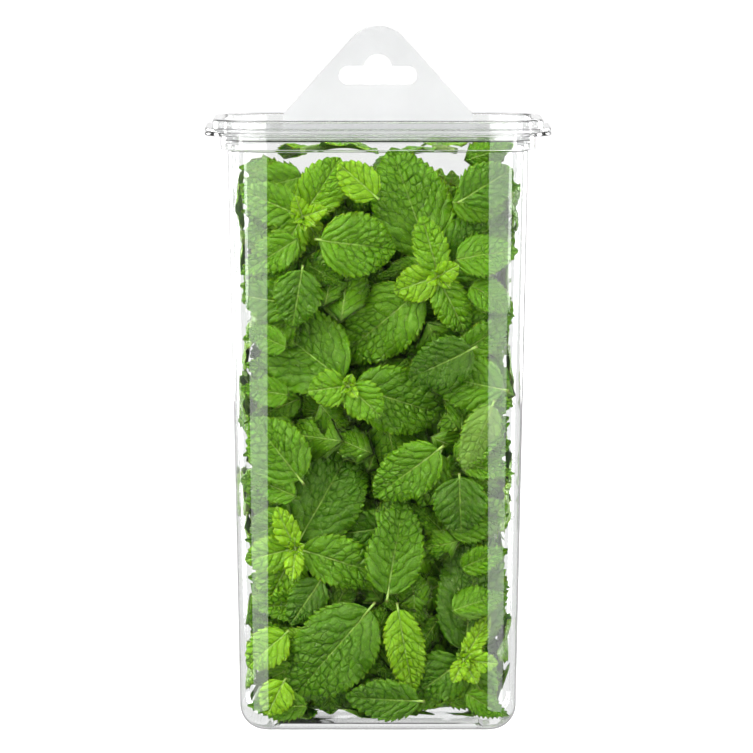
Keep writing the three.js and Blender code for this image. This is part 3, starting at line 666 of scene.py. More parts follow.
def scatter_tree(material):
    """Puts a leaf from a collection on every point, turned and sized by the point's attributes."""
    tree, start, end = node_group(
        "Loose mint leaves", [("Leaves", "NodeSocketCollection", None), ("Size", "NodeSocketFloat", 1.0)]
    )
    new = tree.nodes.new

    def named(label, kind):
        node = new("GeometryNodeInputNamedAttribute")
        node.data_type = kind
        node.inputs["Name"].default_value = label
        return node

    source = new("GeometryNodeCollectionInfo")
    source.transform_space = "RELATIVE"
    source.inputs["Separate Children"].default_value = True
    source.inputs["Reset Children"].default_value = True
    dots = new("GeometryNodeMeshToPoints")
    put = new("GeometryNodeInstanceOnPoints")
    put.inputs["Pick Instance"].default_value = True
    to_turn = new("FunctionNodeEulerToRotation")
    scale = new("ShaderNodeMath")
    scale.operation = "MULTIPLY"
    store = new("GeometryNodeStoreNamedAttribute")
    store.data_type = "FLOAT"
    store.domain = "INSTANCE"
    store.inputs["Name"].default_value = "tone"
    real = new("GeometryNodeRealizeInstances")
    paint = new("GeometryNodeSetMaterial")
    paint.inputs["Material"].default_value = material
    return wire(tree, [
        (start, "Geometry", dots, "Mesh"),
        (start, "Leaves", source, "Collection"),
        (dots, "Points", put, "Points"),
        (source, "Instances", put, "Instance"),
        (named("kind", "INT"), "Attribute", put, "Instance Index"),
        (named("turn", "FLOAT_VECTOR"), "Attribute", to_turn, "Euler"),
        (to_turn, "Rotation", put, "Rotation"),
        (named("size", "FLOAT"), "Attribute", scale, 0),
        (start, "Size", scale, 1),
        (scale, "Value", put, "Scale"),
        (put, "Instances", store, "Geometry"),
        (named("leaf_tone", "FLOAT"), "Attribute", store, "Value"),
        (store, "Geometry", real, "Geometry"),
        (real, "Geometry", paint, "Geometry"),
        (paint, "Geometry", end, "Geometry"),
    ])


# ------------------------------------------------------------------ materials


class Nodes:
    """Adds and links the nodes of a tree."""

    def __init__(self, tree):
        self.tree = tree

    def node(self, kind, **settings):
        made = self.tree.nodes.new(kind)
        for key, value in settings.items():
            setattr(made, key, value)
        return made

    def link(self, a, b):
        self.tree.links.new(a, b)

    def fill(self, sockets, values):
        """Gives each socket its value, or a link where the value is another socket."""
        for socket, value in zip(sockets, values):
            if isinstance(value, (int, float)):
                socket.default_value = value
            elif isinstance(value, (tuple, list)):
                socket.default_value = (*value[:3], 1)
            elif value is not None:
                self.link(value, socket)

    def math(self, operation, a, b=None, clamp=False):
        made = self.node("ShaderNodeMath", operation=operation, use_clamp=clamp)
        self.fill(made.inputs, (a, b))
        return made.outputs[0]

    def times(self, a, b, clamp=False):
        return self.math("MULTIPLY", a, b, clamp)

    def mix(self, factor, a, b):
        made = self.node("ShaderNodeMix", data_type="RGBA")
        self.fill((made.inputs[0], made.inputs[6], made.inputs[7]), (factor, a, b))
        return made.outputs[2]

    def ramp(self, factor, stops):
        made = self.node("ShaderNodeValToRGB")
        while len(made.color_ramp.elements) < len(stops):
            made.color_ramp.elements.new(0.5)
        for element, (at, colour) in zip(made.color_ramp.elements, stops):
            element.position = at
            element.color = (*colour, 1)
        self.link(factor, made.inputs[0])
        return made.outputs[0]

    def band(self, value, start, stop, low=1.0, high=0.0):
        """Low up to start, turning into high at stop."""
        made = self.node("ShaderNodeMapRange")
        self.fill(made.inputs[:5], (value, start, stop, low, high))
        return made.outputs[0]


class Shader(Nodes):
    """A new material with its nodes."""

    def __init__(self, name):
        self.material = bpy.data.materials.new(name)
        self.material.use_nodes = True
        super().__init__(self.material.node_tree)
        self.surface = self.tree.nodes["Principled BSDF"]

    def give(self, values):
        for key, value in values.items():
            self.surface.inputs[key].default_value = value

    def attribute(self, name):
        return self.node("ShaderNodeAttribute", attribute_name=name).outputs["Fac"]

    def noise(self, vector, scale, detail=3.0):
        made = self.node("ShaderNodeTexNoise")
        made.inputs["Scale"].default_value = scale
        made.inputs["Detail"].default_value = detail
        self.link(vector, made.inputs["Vector"])
        return made.outputs["Fac"]

    def cells(self, vector, scale, randomness=1.0):
        """Distance to the edge of the nearest cell."""
        made = self.node("ShaderNodeTexVoronoi", feature="DISTANCE_TO_EDGE", voronoi_dimensions="2D")
        made.inputs["Scale"].default_value = scale
        made.inputs["Randomness"].default_value = randomness
        self.link(vector, made.inputs["Vector"])
        return made.outputs["Distance"]

    def bump(self, height, strength, distance):
        made = self.node("ShaderNodeBump")
        made.inputs["Strength"].default_value = strength
        made.inputs["Distance"].default_value = distance
        self.link(height, made.inputs["Height"])
        self.link(made.outputs[0], self.surface.inputs["Normal"])


def leaf_material(mint):
    sh = Shader("mint_leaf")
    times = sh.times
    veins = sh.node("ShaderNodeUVMap", uv_map="veins").outputs[0]
    flat = sh.node("ShaderNodeUVMap", uv_map="flat").outputs[0]
    place = sh.node("ShaderNodeTexCoord").outputs["Object"]
    split = sh.node("ShaderNodeSeparateXYZ")
    sh.link(veins, split.inputs[0])
    out = times(sh.math("ABSOLUTE", split.outputs["X"]), VEIN_SCALE)
    count = split.outputs["Y"]
    order = sh.math("ADD", count, times(sh.math("SUBTRACT", sh.noise(flat, 6.0, 2.0), 0.5), 0.3))

    # distance from the nearest side vein, 0 on it and 1 midway
    wave = sh.math("ABSOLUTE", sh.math("SINE", times(order, math.pi)))
    side_vein_shade = sh.math("SUBTRACT", 1.0, times(wave, 4.6, True), True)
    rib = sh.math("SUBTRACT", 1.0, times(out, 2.1, True), True)
    toward_base = times(sh.math("SUBTRACT", FIRST_VEIN + 7.0, count), 0.22, True)
    toward_tip = times(sh.math("SUBTRACT", count, FIRST_VEIN + 0.5), 0.2, True)
    toward_tip = sh.math("ADD", toward_tip, 0.25, True)

    puff = sh.math("POWER", times(sh.cells(flat, 8.0, 0.7), 5.0, True), 0.6)
    quilted = times(toward_tip, times(sh.noise(flat, 2.2, 1.0), 1.9, True))
    grain = times(sh.cells(flat, 30.0), 3.0, True)

    under = sh.attribute("under")
    drift = times(sh.math("SUBTRACT", sh.noise(place, 45.0), 0.5), 0.34)
    greens = [
        (0.0, (0.013, 0.050, 0.002)),
        (0.3, (0.036, 0.122, 0.002)),
        (0.6, (0.092, 0.245, 0.002)),
        (1.0, (0.205, 0.400, 0.004)),
    ]
    blade = sh.ramp(sh.math("ADD", sh.attribute("tone"), drift, True), greens)
    seam_shade = times(sh.math("SUBTRACT", 1.0, puff), quilted)
    for share_of, colour in (
        # painted shade: the grooves between the quilted cells are darkened, more towards the tip
        (times(seam_shade, 0.6), tuple(mint.seam_shade_colour)),
        # painted shade: the impressed side veins are drawn as dark lines
        (times(side_vein_shade, 0.92), tuple(mint.vein_shade_colour)),
        # painted light: the middles of the quilted cells are lightened where the raised tops catch the light
        (times(times(grain, puff), 0.2), (0.20, 0.42, 0.01)),
        (times(times(rib, toward_base), 0.9), tuple(mint.rib_colour)),
        (times(sh.attribute("cut"), 0.85), (0.075, 0.035, 0.012)),
    ):
        blade = sh.mix(share_of, blade, colour)
    pale = sh.mix(0.55, blade, tuple(mint.underside_colour))
    sh.link(sh.mix(under, blade, pale), sh.surface.inputs["Base Color"])

    rough = sh.math("ADD", 0.17, times(sh.noise(flat, 5.0, 2.0), 0.18))
    sh.link(sh.math("ADD", rough, times(under, 0.2)), sh.surface.inputs["Roughness"])
    sh.give({
        "Specular IOR Level": 0.5,
        "Specular Tint": (0.9, 1.0, 0.55, 1),
        "Subsurface Weight": 0.3,
        "Subsurface Radius": (0.5, 1.0, 0.1),
        "Subsurface Scale": 0.001,
    })

    height = times(times(puff, quilted), 0.6)
    height = sh.math("ADD", height, times(sh.math("POWER", wave, 0.45), 0.5))
    height = sh.math("ADD", height, times(grain, 0.08))
    sh.bump(sh.math("SUBTRACT", height, times(rib, 0.4)), 1.0, 0.0011)
    return sh.material


def stem_material():
    sh = Shader("mint_stem")
    place = sh.node("ShaderNodeTexCoord").outputs["Object"]
    streaks = sh.node("ShaderNodeMapping")
    streaks.inputs["Scale"].default_value = (900, 900, 90)
    sh.link(place, streaks.inputs["Vector"])
    fibre = sh.noise(streaks.outputs[0], 1.0, 4.0)
    patch = sh.noise(place, 60.0, 2.0)
    green = sh.ramp(fibre, [(0.25, (0.055, 0.14, 0.02)), (0.75, (0.2, 0.33, 0.06))])
    blush = sh.ramp(patch, [(0.5, (0, 0, 0)), (0.75, (0.5, 0.5, 0.5))])
    sh.link(sh.mix(blush, green, (0.13, 0.045, 0.03)), sh.surface.inputs["Base Color"])
    sh.give({
        "Roughness": 0.5,
        "Subsurface Weight": 0.1,
        "Subsurface Radius": (0.5, 1.0, 0.2),
        "Subsurface Scale": 0.001,
    })
    sh.bump(fibre, 0.35, 0.0002)
    return sh.material


def clear_material(name, tint, roughness):
    """Clear sheet. Lamps shine through it as through thin plastic."""
    sh = Shader(name)
    sh.give({"Base Color": (*tint, 1), "Transmission Weight": 1.0, "IOR": 1.5, "Roughness": roughness})
    path = sh.node("ShaderNodeLightPath")
    through = sh.node("ShaderNodeBsdfTransparent")
    through.inputs["Color"].default_value = (0.97, 0.97, 0.97, 1)
    both = sh.node("ShaderNodeMixShader")
    sh.fill(both.inputs, (path.outputs["Is Shadow Ray"], sh.surface.outputs[0], through.outputs[0]))
    sh.link(both.outputs[0], sh.tree.nodes["Material Output"].inputs["Surface"])
    return sh.material


def frosted_material(pack):
    sh = Shader("frosted_tab")
    place = sh.node("ShaderNodeTexCoord").outputs["Object"]
    haze = sh.ramp(sh.noise(place, 60.0), [(0.3, (0.765, 0.77, 0.775)), (0.7, (0.805, 0.81, 0.815))])
    sh.link(haze, sh.surface.inputs["Base Color"])
    sh.give({"Roughness": 0.42, "Transmission Weight": pack.tab_clearness, "Specular IOR Level": 0.4})
    sh.bump(sh.noise(place, 1500.0, 2.0), 0.08, 0.0002)
    return sh.material


def plain_material(name, colour, roughness, glow):
    sh = Shader(name)
    sh.give({
        "Base Color": (*colour, 1),
        "Roughness": roughness,
        "Emission Color": (1, 1, 1, 1),
        "Emission Strength": glow,
    })
    return sh.material


def glow_material(name, strength):
    material = bpy.data.materials.new(name)
    material.use_nodes = True
    tree = material.node_tree
    tree.nodes.clear()
    lamp = tree.nodes.new("ShaderNodeEmission")
    lamp.inputs["Strength"].default_value = strength
    output = tree.nodes.new("ShaderNodeOutputMaterial")
    tree.links.new(lamp.outputs[0], output.inputs["Surface"])
    return material


def shared(name, make):
    """The material of that name, made the first time it is asked for."""
    return bpy.data.materials.get(name) or make()


# ------------------------------------------------------------------ tub and lid shells


def ring(inset, z, steps):
    lean = DRAFT * (1 - min(z, BODY_HEIGHT) / BODY_HEIGHT)
    x, y = BODY_WIDTH / 2 - lean - inset, BODY_DEPTH / 2 - lean - inset
    r = max(CORNER - lean - inset, 1.5)
    points = []
    for quarter, cx, cy in ((0, x - r, y - r), (1, r - x, y - r), (2, r - x, r - y), (3, x - r, r - y)):
        for i in range(steps + 1):
            a = (quarter + i / steps) * math.pi / 2
            points.append((cx + r * math.cos(a), cy + r * math.sin(a), z))
    return points


def fillet_turn(radius, offset, steps):
    turns = [i / steps * math.pi / 2 for i in range(steps + 1)]
    return [(offset + radius * (1 - math.sin(a)), offset + radius * (1 - math.cos(a))) for a in turns]


def eased(profile, sharp=0.28):
    """Rounds a profile's corners a little, so that the sheet's turns catch the light."""
    softened = [profile[0]]
    for before, corner, after in zip(profile, profile[1:], profile[2:]):
        b, c, a = (np.array(p, float) for p in (before, corner, after))
        to_b, to_a = b - c, a - c
        lb, la = np.linalg.norm(to_b), np.linalg.norm(to_a)
        straight = np.dot(to_b, to_a) / (lb * la) < -0.97
        if straight or min(lb, la) < 2.2 * sharp:
            softened.append(tuple(c))
            continue
        reach = 0.62 if corner[0] <= -FLANGE_REACH else sharp
        start, stop = c + to_b / lb * reach, c + to_a / la * reach
        turn = [(1 - f) ** 2 * start + 2 * f * (1 - f) * c + f**2 * stop for f in (0, 0.25, 0.5, 0.75, 1)]
        softened += [tuple(p) for p in turn]
    softened.append(profile[-1])
    return softened


def shell(name, profile, steps, material):
    rings = [ring(inset, z, steps) for inset, z in profile]
    n = len(rings[0])
    points = [p for r in rings for p in r]
    faces = [tuple(range(n))[::-1]]
    for k in range(len(rings) - 1):
        for i in range(n):
            a, b = k * n + i, k * n + (i + 1) % n
            faces.append((a, b, b + n, a + n))
    last = (len(rings) - 1) * n
    faces.append(tuple(last + i for i in range(n)))
    mesh = bpy.data.meshes.new(name)
    mesh.from_pydata([tuple(c * MM for c in p) for p in points], [], faces)
    mesh.materials.append(material)
    mesh.polygons.foreach_set("use_smooth", np.ones(len(faces), bool))
    mesh.update()
    mesh.set_sharp_from_angle(angle=math.radians(42))
    return stand(name, mesh)


def tub_profile():
    inner_ring = FOOT_FILLET + FOOT_RING
    collar = SHEET - COLLAR_STEP
    outside = [
        (inner_ring + KICK_UP, KICK_UP),
        (inner_ring, 0),
        *fillet_turn(FOOT_FILLET, 0, 10),
        (0, BODY_HEIGHT),
        (-COLLAR_STEP, COLLAR_FOOT),
        (-COLLAR_STEP, FLANGE_FOOT),
        (-FLANGE_REACH, FLANGE_FOOT),
        (-FLANGE_REACH, FLANGE_TOP),
    ]
    inside = [
        (collar, FLANGE_TOP),
        (collar, COLLAR_FOOT),
        (SHEET, BODY_HEIGHT),
        *fillet_turn(FOOT_FILLET - SHEET, SHEET, 10)[::-1],
        (inner_ring - MITRE, SHEET),
        (inner_ring + KICK_UP - MITRE, KICK_UP + SHEET),
    ]
    return eased(outside + inside)


def lid_profile():
    plug = SHEET - COLLAR_STEP + FIT_GAP
    crest = RIM_TOP - SHEET
    under = [
        (PANEL_INSET + PANEL_RISE, PANEL_UNDER + PANEL_RISE),
        (PANEL_INSET, PANEL_UNDER),
        (plug + PLUG_EASE, PANEL_UNDER),
        (plug, PANEL_UNDER + PLUG_EASE),
        (plug, crest),
        (SHEET - RIM_REACH, crest),
        (SHEET - RIM_REACH, LID_FLANGE),
        (-FLANGE_REACH, LID_FLANGE),
        (-FLANGE_REACH, LID_FLANGE_TOP),
    ]
    above = [
        (-RIM_REACH, LID_FLANGE_TOP),
        (-RIM_REACH, RIM_TOP - RIM_EASE),
        (-RIM_REACH + RIM_EASE, RIM_TOP),
        (plug + SHEET - RIM_EASE, RIM_TOP),
        (plug + SHEET, RIM_TOP - RIM_EASE),
        (plug + SHEET, PANEL_UNDER + SHEET),
        (PANEL_INSET - MITRE, PANEL_UNDER + SHEET),
        (PANEL_INSET + PANEL_RISE - MITRE, PANEL_UNDER + PANEL_RISE + SHEET),
    ]
    return eased(under + above)


# ------------------------------------------------------------------ room left in the tub


class Room:
    """A grid of 1 mm cells inside the tub, taken where there is mint or plastic."""

    LOW = np.array([-64.0, -44.0, -2.0])
    SIZE = (128, 88, 244)

    def __init__(self):
        x, y, z = np.meshgrid(*[self.LOW[k] + 0.5 + np.arange(self.SIZE[k]) for k in range(3)], indexing="ij")
        lean = DRAFT * (1 - np.minimum(z, BODY_HEIGHT) / BODY_HEIGHT)
        foot = np.clip(FOOT_FILLET - z, 0, FOOT_FILLET)
        inset = lean + SHEET + 0.9 + FOOT_FILLET - np.sqrt(np.maximum(FOOT_FILLET**2 - foot**2, 0))
        r = np.maximum(CORNER - inset, 1)
        dx = np.abs(x) - (BODY_WIDTH / 2 - inset - r)
        dy = np.abs(y) - (BODY_DEPTH / 2 - inset - r)
        far = np.hypot(np.maximum(dx, 0), np.maximum(dy, 0)) + np.minimum(np.maximum(dx, dy), 0)
        self.taken = (far > r) | (z < KICK_UP + SHEET + 0.8) | (z > PANEL_UNDER - 0.8)

    def cells(self, points):
        found = np.floor(points - self.LOW).astype(int)
        return tuple(np.clip(found[..., k], 0, self.SIZE[k] - 1) for k in range(3))

    def take(self, points, grow=1):
        for dx in range(-grow, grow + 1):
            for dy in range(-grow, grow + 1):
                for dz in range(-grow, grow + 1):
                    self.taken[self.cells(points + np.array([dx, dy, dz]))] = True

    def first_free(self, points, way, steps, allowed):
        """The first step along a way at which the points have room, or None."""
        moved = points[None] + np.arange(steps)[:, None, None] * np.asarray(way, float)
        hits = self.taken[self.cells(moved)].mean(axis=1)
        free = np.nonzero(hits <= allowed)[0]
        return int(free[0]) if len(free) else None


ROOM = Room()

# ------------------------------------------------------------------ settings


class MintSettings(bpy.types.PropertyGroup):
    tooth_pitch: FloatProperty(
        name="Tooth pitch", default=2.6, min=1,
        description="Spacing of the teeth along a leaf's edge, in millimetres",
    )
    tooth_depth: FloatProperty(
        name="Tooth depth", default=1.15, min=0, description="How far a tooth stands out, in millimetres"
    )
    quilt_depth: FloatProperty(
        name="Quilting", default=0.6, min=0, description="Rise of the blade between its veins, in millimetres"
    )
    vein_pairs: FloatProperty(
        name="Vein pairs", default=7.5, min=2, description="Side veins on each half of a leaf"
    )
    loose_tries: IntProperty(
        name="Loose leaves tried", default=1500, min=0, description="Places tried for small leaves"
    )
    # painted light: a leaf's margin is made lighter and yellower, as light shining through the thin edge
    rim_glow: FloatProperty(
        name="Rim", default=0.28, min=0, description="How much younger a leaf's rim looks"
    )
    near_leaves: IntProperty(
        name="Near leaves", default=80, min=4, description="Loose leaves made with all their teeth"
    )
    seed: IntProperty(name="Seed", default=11, description="Changes the leaves' small differences")
    # painted shade: colour laid in the grooves between the quilted cells
    seam_shade_colour: FloatVectorProperty(
        name="Seams", subtype="COLOR", default=(0.014, 0.058, 0.003), description="Between the quilted cells"
    )
    # painted shade: colour laid along the impressed side veins
    vein_shade_colour: FloatVectorProperty(
        name="Side veins", subtype="COLOR", default=(0.012, 0.050, 0.003), description="In the side veins"
    )
    rib_colour: FloatVectorProperty(
        name="Midrib", subtype="COLOR", default=(0.34, 0.52, 0.11), description="Colour of the midrib"
    )
    underside_colour: FloatVectorProperty(
        name="Underside", subtype="COLOR", default=(0.18, 0.31, 0.05), description="Tint of the lower face"
    )


class PackSettings(bpy.types.PropertyGroup):
    corner_steps: IntProperty(
        name="Corner steps", default=14, min=4, description="Facets in each upright corner"
    )
    tint: FloatVectorProperty(
        name="Plastic", subtype="COLOR", default=(0.965, 0.97, 0.968), description="Tint of the clear sheet"
    )
    roughness: FloatProperty(
        name="Roughness", default=0.02, min=0, max=1, description="Of the tub's clear sheet"
    )
    lid_roughness: FloatProperty(
        name="Lid roughness", default=0.09, min=0, max=1, description="Of the lid's clear sheet"
    )
    tab_clearness: FloatProperty(
        name="Tab clearness", default=0.45, min=0, max=1, description="How much light the tab lets through"
    )


class StageSettings(bpy.types.PropertyGroup):
    distance: FloatProperty(name="Camera distance", unit="LENGTH", default=3.2, description="From the pack")
    height: FloatProperty(name="Camera height", unit="LENGTH", default=0.367, description="Above the floor")
    aim: FloatProperty(name="Aim height", unit="LENGTH", default=0.141, description="Middle of the view")
    width: FloatProperty(name="View width", unit="LENGTH", default=0.305, description="Seen at the pack")
    ambient: FloatProperty(name="Ambient", default=0.025, min=0, description="Even light from all round")
    light: FloatProperty(name="Light", default=0.70, min=0, description="Strength of all lamps")


# ------------------------------------------------------------------ operators


class MINT_OT_sprigs(bpy.types.Operator):
    """Builds every sprig, leaf pair and loose leaf that has its solid in the frame"""

    bl_idname = "mint.sprigs"
    bl_label = "Mint sprigs"

    def execute(self, context):
        mint = context.scene.mint
        blade = shared("mint_leaf", lambda: leaf_material(mint))
        bark = shared("mint_stem", stem_material)
        stems = stem_tree(bark)
        for number, (name, wall, shape, spin) in enumerate(bunch()):
            self.piece(mint, number, name, wall, shape, spin, blade, bark, stems)
        return {"FINISHED"}

    def piece(self, mint, number, name, wall, shape, spin, blade, bark, stems):
        turn = wall_matrix(wall, spin)
        corners = [in_piece(one, solid_corners(one)) for one in shape["leaves"]]
        if "stem" in shape:
            ends = np.array(shape["stem"], float)
            half = STEM_WIDTH / 2
            flat = abs(ends[0] - ends[-1])[2] < 3
            reach = np.array([half, 0, half]) if flat else np.array([half, half, 0])
            corners += [ends + reach, ends - reach]
        solid = np.concatenate(corners) @ turn.T
        low, high = (np.array(c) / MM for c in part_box(name))
        place = ((low - solid.min(0)) + (high - solid.max(0))) / 2
        front = wall == "front" and not name.startswith("inner")
        detail = 2 if front else 1
        rng = np.random.default_rng(mint.seed + number)
        parts = MeshParts()
        leaves = list(shape["leaves"])
        if shape.get("tip"):
            for k in range(TIP_LEAVES):
                size = rng.uniform(4.5, 8.5)
                leaves.append(
                    leaf(60 * k + rng.uniform(-20, 20), size, size * 0.6, lean=rng.uniform(38, 78), bend=34,
                         fold=22, base=(0, 0, -1.5), tone=rng.uniform(0.7, 0.95), bud=True)
                )
        for k, one in enumerate(leaves):
            fine = 0 if one.get("bud") else detail
            points, faces, veins, flat, under, rim = leaf_blade(one, fine, mint, mint.seed + 100 * number + k)
            tone = one["tone"]
            if tone is None:
                young = max(0.0, 1 - one["length"] / 38)
                # painted light: leaves on the side and top walls are made lighter, as if lit through; painted
                # shade: leaves off the front wall start a little darker
                edge = 0.22 if wall in ("left", "right", "top") else 0
                tone = (0.36 if front else 0.3) + edge + 0.75 * young + rng.uniform(-0.12, 0.12)
            out = in_piece(one, points) @ turn.T + place
            # painted light: the margins are lightened as if lit through
            parts.add(out, faces, 0, veins, flat, tone + mint.rim_glow * rim, under)
            points, faces = stalk(one)
            cut = np.where(np.arange(len(points)) < 6, 1.0, 0.0) * (0.0 if "stem" in shape else 1.0)
            out = in_piece(one, points) @ turn.T + place
            parts.add(out, faces, 0, tone=min(1, tone + 0.3), under=0.3, cut=cut)
        ROOM.take(parts.world_points())
        piece = parts.build("mint_" + name, [blade, bark])
        if "stem" in shape:
            line = (smooth_path(shape["stem"], 6) @ turn.T + place)[2 if shape.get("tip") else 0 :]
            path = bpy.data.meshes.new("stem_path")
            path.from_pydata((line * MM).tolist(), [(i, i + 1) for i in range(len(line) - 1)], [])
            stem = baked(stand("stem_" + name, path), stems, {"Width": STEM_WIDTH * MM})
            ROOM.take(line)
            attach(stem, ROOT)
        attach(piece, ROOT)
        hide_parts(name)


class MINT_OT_loose(bpy.types.Operator):
    """Fills the gaps between the sprigs with small loose leaves, plainer where they lie deep"""

    bl_idname = "mint.loose"
    bl_label = "Loose leaves"

    def execute(self, context):
        mint = context.scene.mint
        blade = shared("mint_leaf", lambda: leaf_material(mint))
        kinds = [
            leaf(0, LOOSE_LENGTH, 20, bend=24, fold=8, twist=6, point=0.35, jag=1.3),
            leaf(0, LOOSE_LENGTH, 18, bend=14, fold=14, twist=-10, point=0.45, jag=1.5),
            leaf(0, LOOSE_LENGTH, 22, bend=36, fold=5, twist=0, point=0.2, jag=1.2),
            leaf(0, LOOSE_LENGTH, 16, bend=-14, fold=18, twist=16, point=0.4, jag=1.4),
        ]
        stocks, samples = [], []
        for detail, label in ((1, "near"), (-1, "deep")):
            stock = bpy.data.collections.new(f"{label}_stock")
            for k, one in enumerate(kinds):
                parts = MeshParts()
                points, faces, veins, flat, under, _ = leaf_blade(one, detail, mint, 7000 + k)
                middle = points.mean(0) if detail == 1 else samples[k][0]
                parts.add(points - middle, faces, 0, veins, flat, 0.5, under)
                piece = parts.build(f"{label}_{k}", [blade])
                bpy.context.scene.collection.objects.unlink(piece)
                stock.objects.link(piece)
                if detail == 1:
                    samples.append((middle, (points - middle)[::7]))
            stocks.append((label, stock))
        places = self.find_places(mint, [s[1] for s in samples])
        near = mint.near_leaves
        for (label, stock), chosen in zip(stocks, (places[:near], places[near:])):
            self.scatter(label, stock, chosen, blade)
        return {"FINISHED"}

    def scatter(self, label, stock, places, blade):
        dots = bpy.data.meshes.new(f"{label}_places")
        dots.from_pydata([tuple(place["at"] * MM) for place in places], [], [])
        kinds = {"turn": "FLOAT_VECTOR", "size": "FLOAT", "leaf_tone": "FLOAT", "kind": "INT"}
        for key, kind in kinds.items():
            attribute = dots.attributes.new(key, kind, "POINT")
            values = np.array([place[key] for place in places]).ravel()
            attribute.data.foreach_set("vector" if kind == "FLOAT_VECTOR" else "value", values)
        holder = stand(f"mint_{label}_leaves", dots)
        made = baked(holder, scatter_tree(blade), {"Leaves": stock, "Size": 1.0})
        for piece in list(stock.objects):
            bpy.data.objects.remove(piece)
        bpy.data.collections.remove(stock)
        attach(made, ROOT)

    def find_places(self, mint, samples):
        """Places for loose leaves, nearest first, each stepped inwards from its wall to free room."""
        rng = np.random.default_rng(mint.seed)
        ways = {wall: -np.array(WALLS[wall][2], float) for wall in WALLS}
        tries = []
        for layer in range(EDGE_LAYERS):
            for k in range(EDGE_ROWS):
                for hand in (-1, 1):
                    z = 13 + 18 * k + rng.uniform(-4, 4) + 6 * layer
                    heading, size = hand * rng.uniform(55, 125), rng.uniform(0.6, 0.9)
                    reach = 15.5 * size * abs(math.sin(math.radians(heading)))
                    edge = BODY_WIDTH / 2 - SHEET - DRAFT * (1 - z / BODY_HEIGHT) - rng.uniform(2.2, 5.5)
                    start = (hand * (edge - reach), -33 + 7 * layer, z)
                    tries.append(("front", start, heading, size, EDGE_OVERLAP, 14))
        for _ in range(FLOOR_TRIES):
            start = (rng.uniform(-42, 42), rng.uniform(-26, 30), 4.5)
            heading, size = rng.uniform(0, 360), rng.uniform(0.6, 0.9)
            tries.append(("bottom", start, heading, size, FLOOR_OVERLAP, 9))
        for _ in range(mint.loose_tries):
            wall = ("front", "front", "back", "left", "right")[rng.integers(5)]
            across = rng.uniform(-0.9, 0.9)
            z = rng.uniform(8, 216 - 14 * across**2)
            start = {
                "front": (across * 45, -26, z),
                "back": (across * 43, 37, z),
                "left": (-49, 12 + across * 22, z),
                "right": (49, 12 + across * 22, z),
            }[wall]
            heading, size = rng.uniform(0, 360), rng.uniform(0.6, 1.15)
            tries.append((wall, start, heading, size, GAP_OVERLAP, 34))
        places = []
        for wall, start, heading, size, allowed, steps in tries:
            pick = int(rng.integers(len(samples)))
            lean, roll = rng.uniform(-18, 22), rng.uniform(-24, 24)
            one = leaf(heading, LOOSE_LENGTH, LOOSE_WIDTH, lean=lean, roll=roll)
            turn = np.array(WALLS[wall], float).T @ leaf_turn(one)
            points = samples[pick] * size @ turn.T + np.array(start)
            step = ROOM.first_free(points, ways[wall], steps, allowed)
            if step is None:
                continue
            at = np.array(start) + step * ways[wall]
            ROOM.take(points + step * ways[wall], 0)
            # painted shade: a loose leaf is made darker the further in from its wall it lies
            tone = float(np.clip(rng.normal(0.42, 0.16) - 0.008 * step, 0.05, 0.9))
            depth = 0 if allowed == EDGE_OVERLAP else step + 100 * (wall != "front")
            euler = list(Matrix(turn.tolist()).to_euler("XYZ"))
            places.append(dict(at=at, turn=euler, size=size, kind=pick, leaf_tone=tone, depth=depth))
        return sorted(places, key=lambda place: place["depth"])


class MINT_OT_pack(bpy.types.Operator):
    """Builds the clear tub and lid and finishes the hang tab"""

    bl_idname = "mint.pack"
    bl_label = "Tub, lid and tab"

    def execute(self, context):
        pack = context.scene.mint_pack
        tint = tuple(pack.tint)
        clear = shared("clear_sheet", lambda: clear_material("clear_sheet", tint, pack.roughness))
        frost = shared("frosted_tab", lambda: frosted_material(pack))
        tub = shell("clear_tub", tub_profile(), pack.corner_steps, clear)
        soft = shared("clear_lid", lambda: clear_material("clear_lid", tint, pack.lid_roughness))
        lid = shell("clear_lid", lid_profile(), pack.corner_steps, soft)
        for piece, node, slot in ((tub, "tub", "tub_plastic"), (lid, "lid", "lid_plastic")):
            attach(piece, ROOT)
            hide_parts(node)
        tab = frame["nodes"]["hang_tab"]
        tab.data.materials.clear()
        tab.data.materials.append(frost)
        return {"FINISHED"}


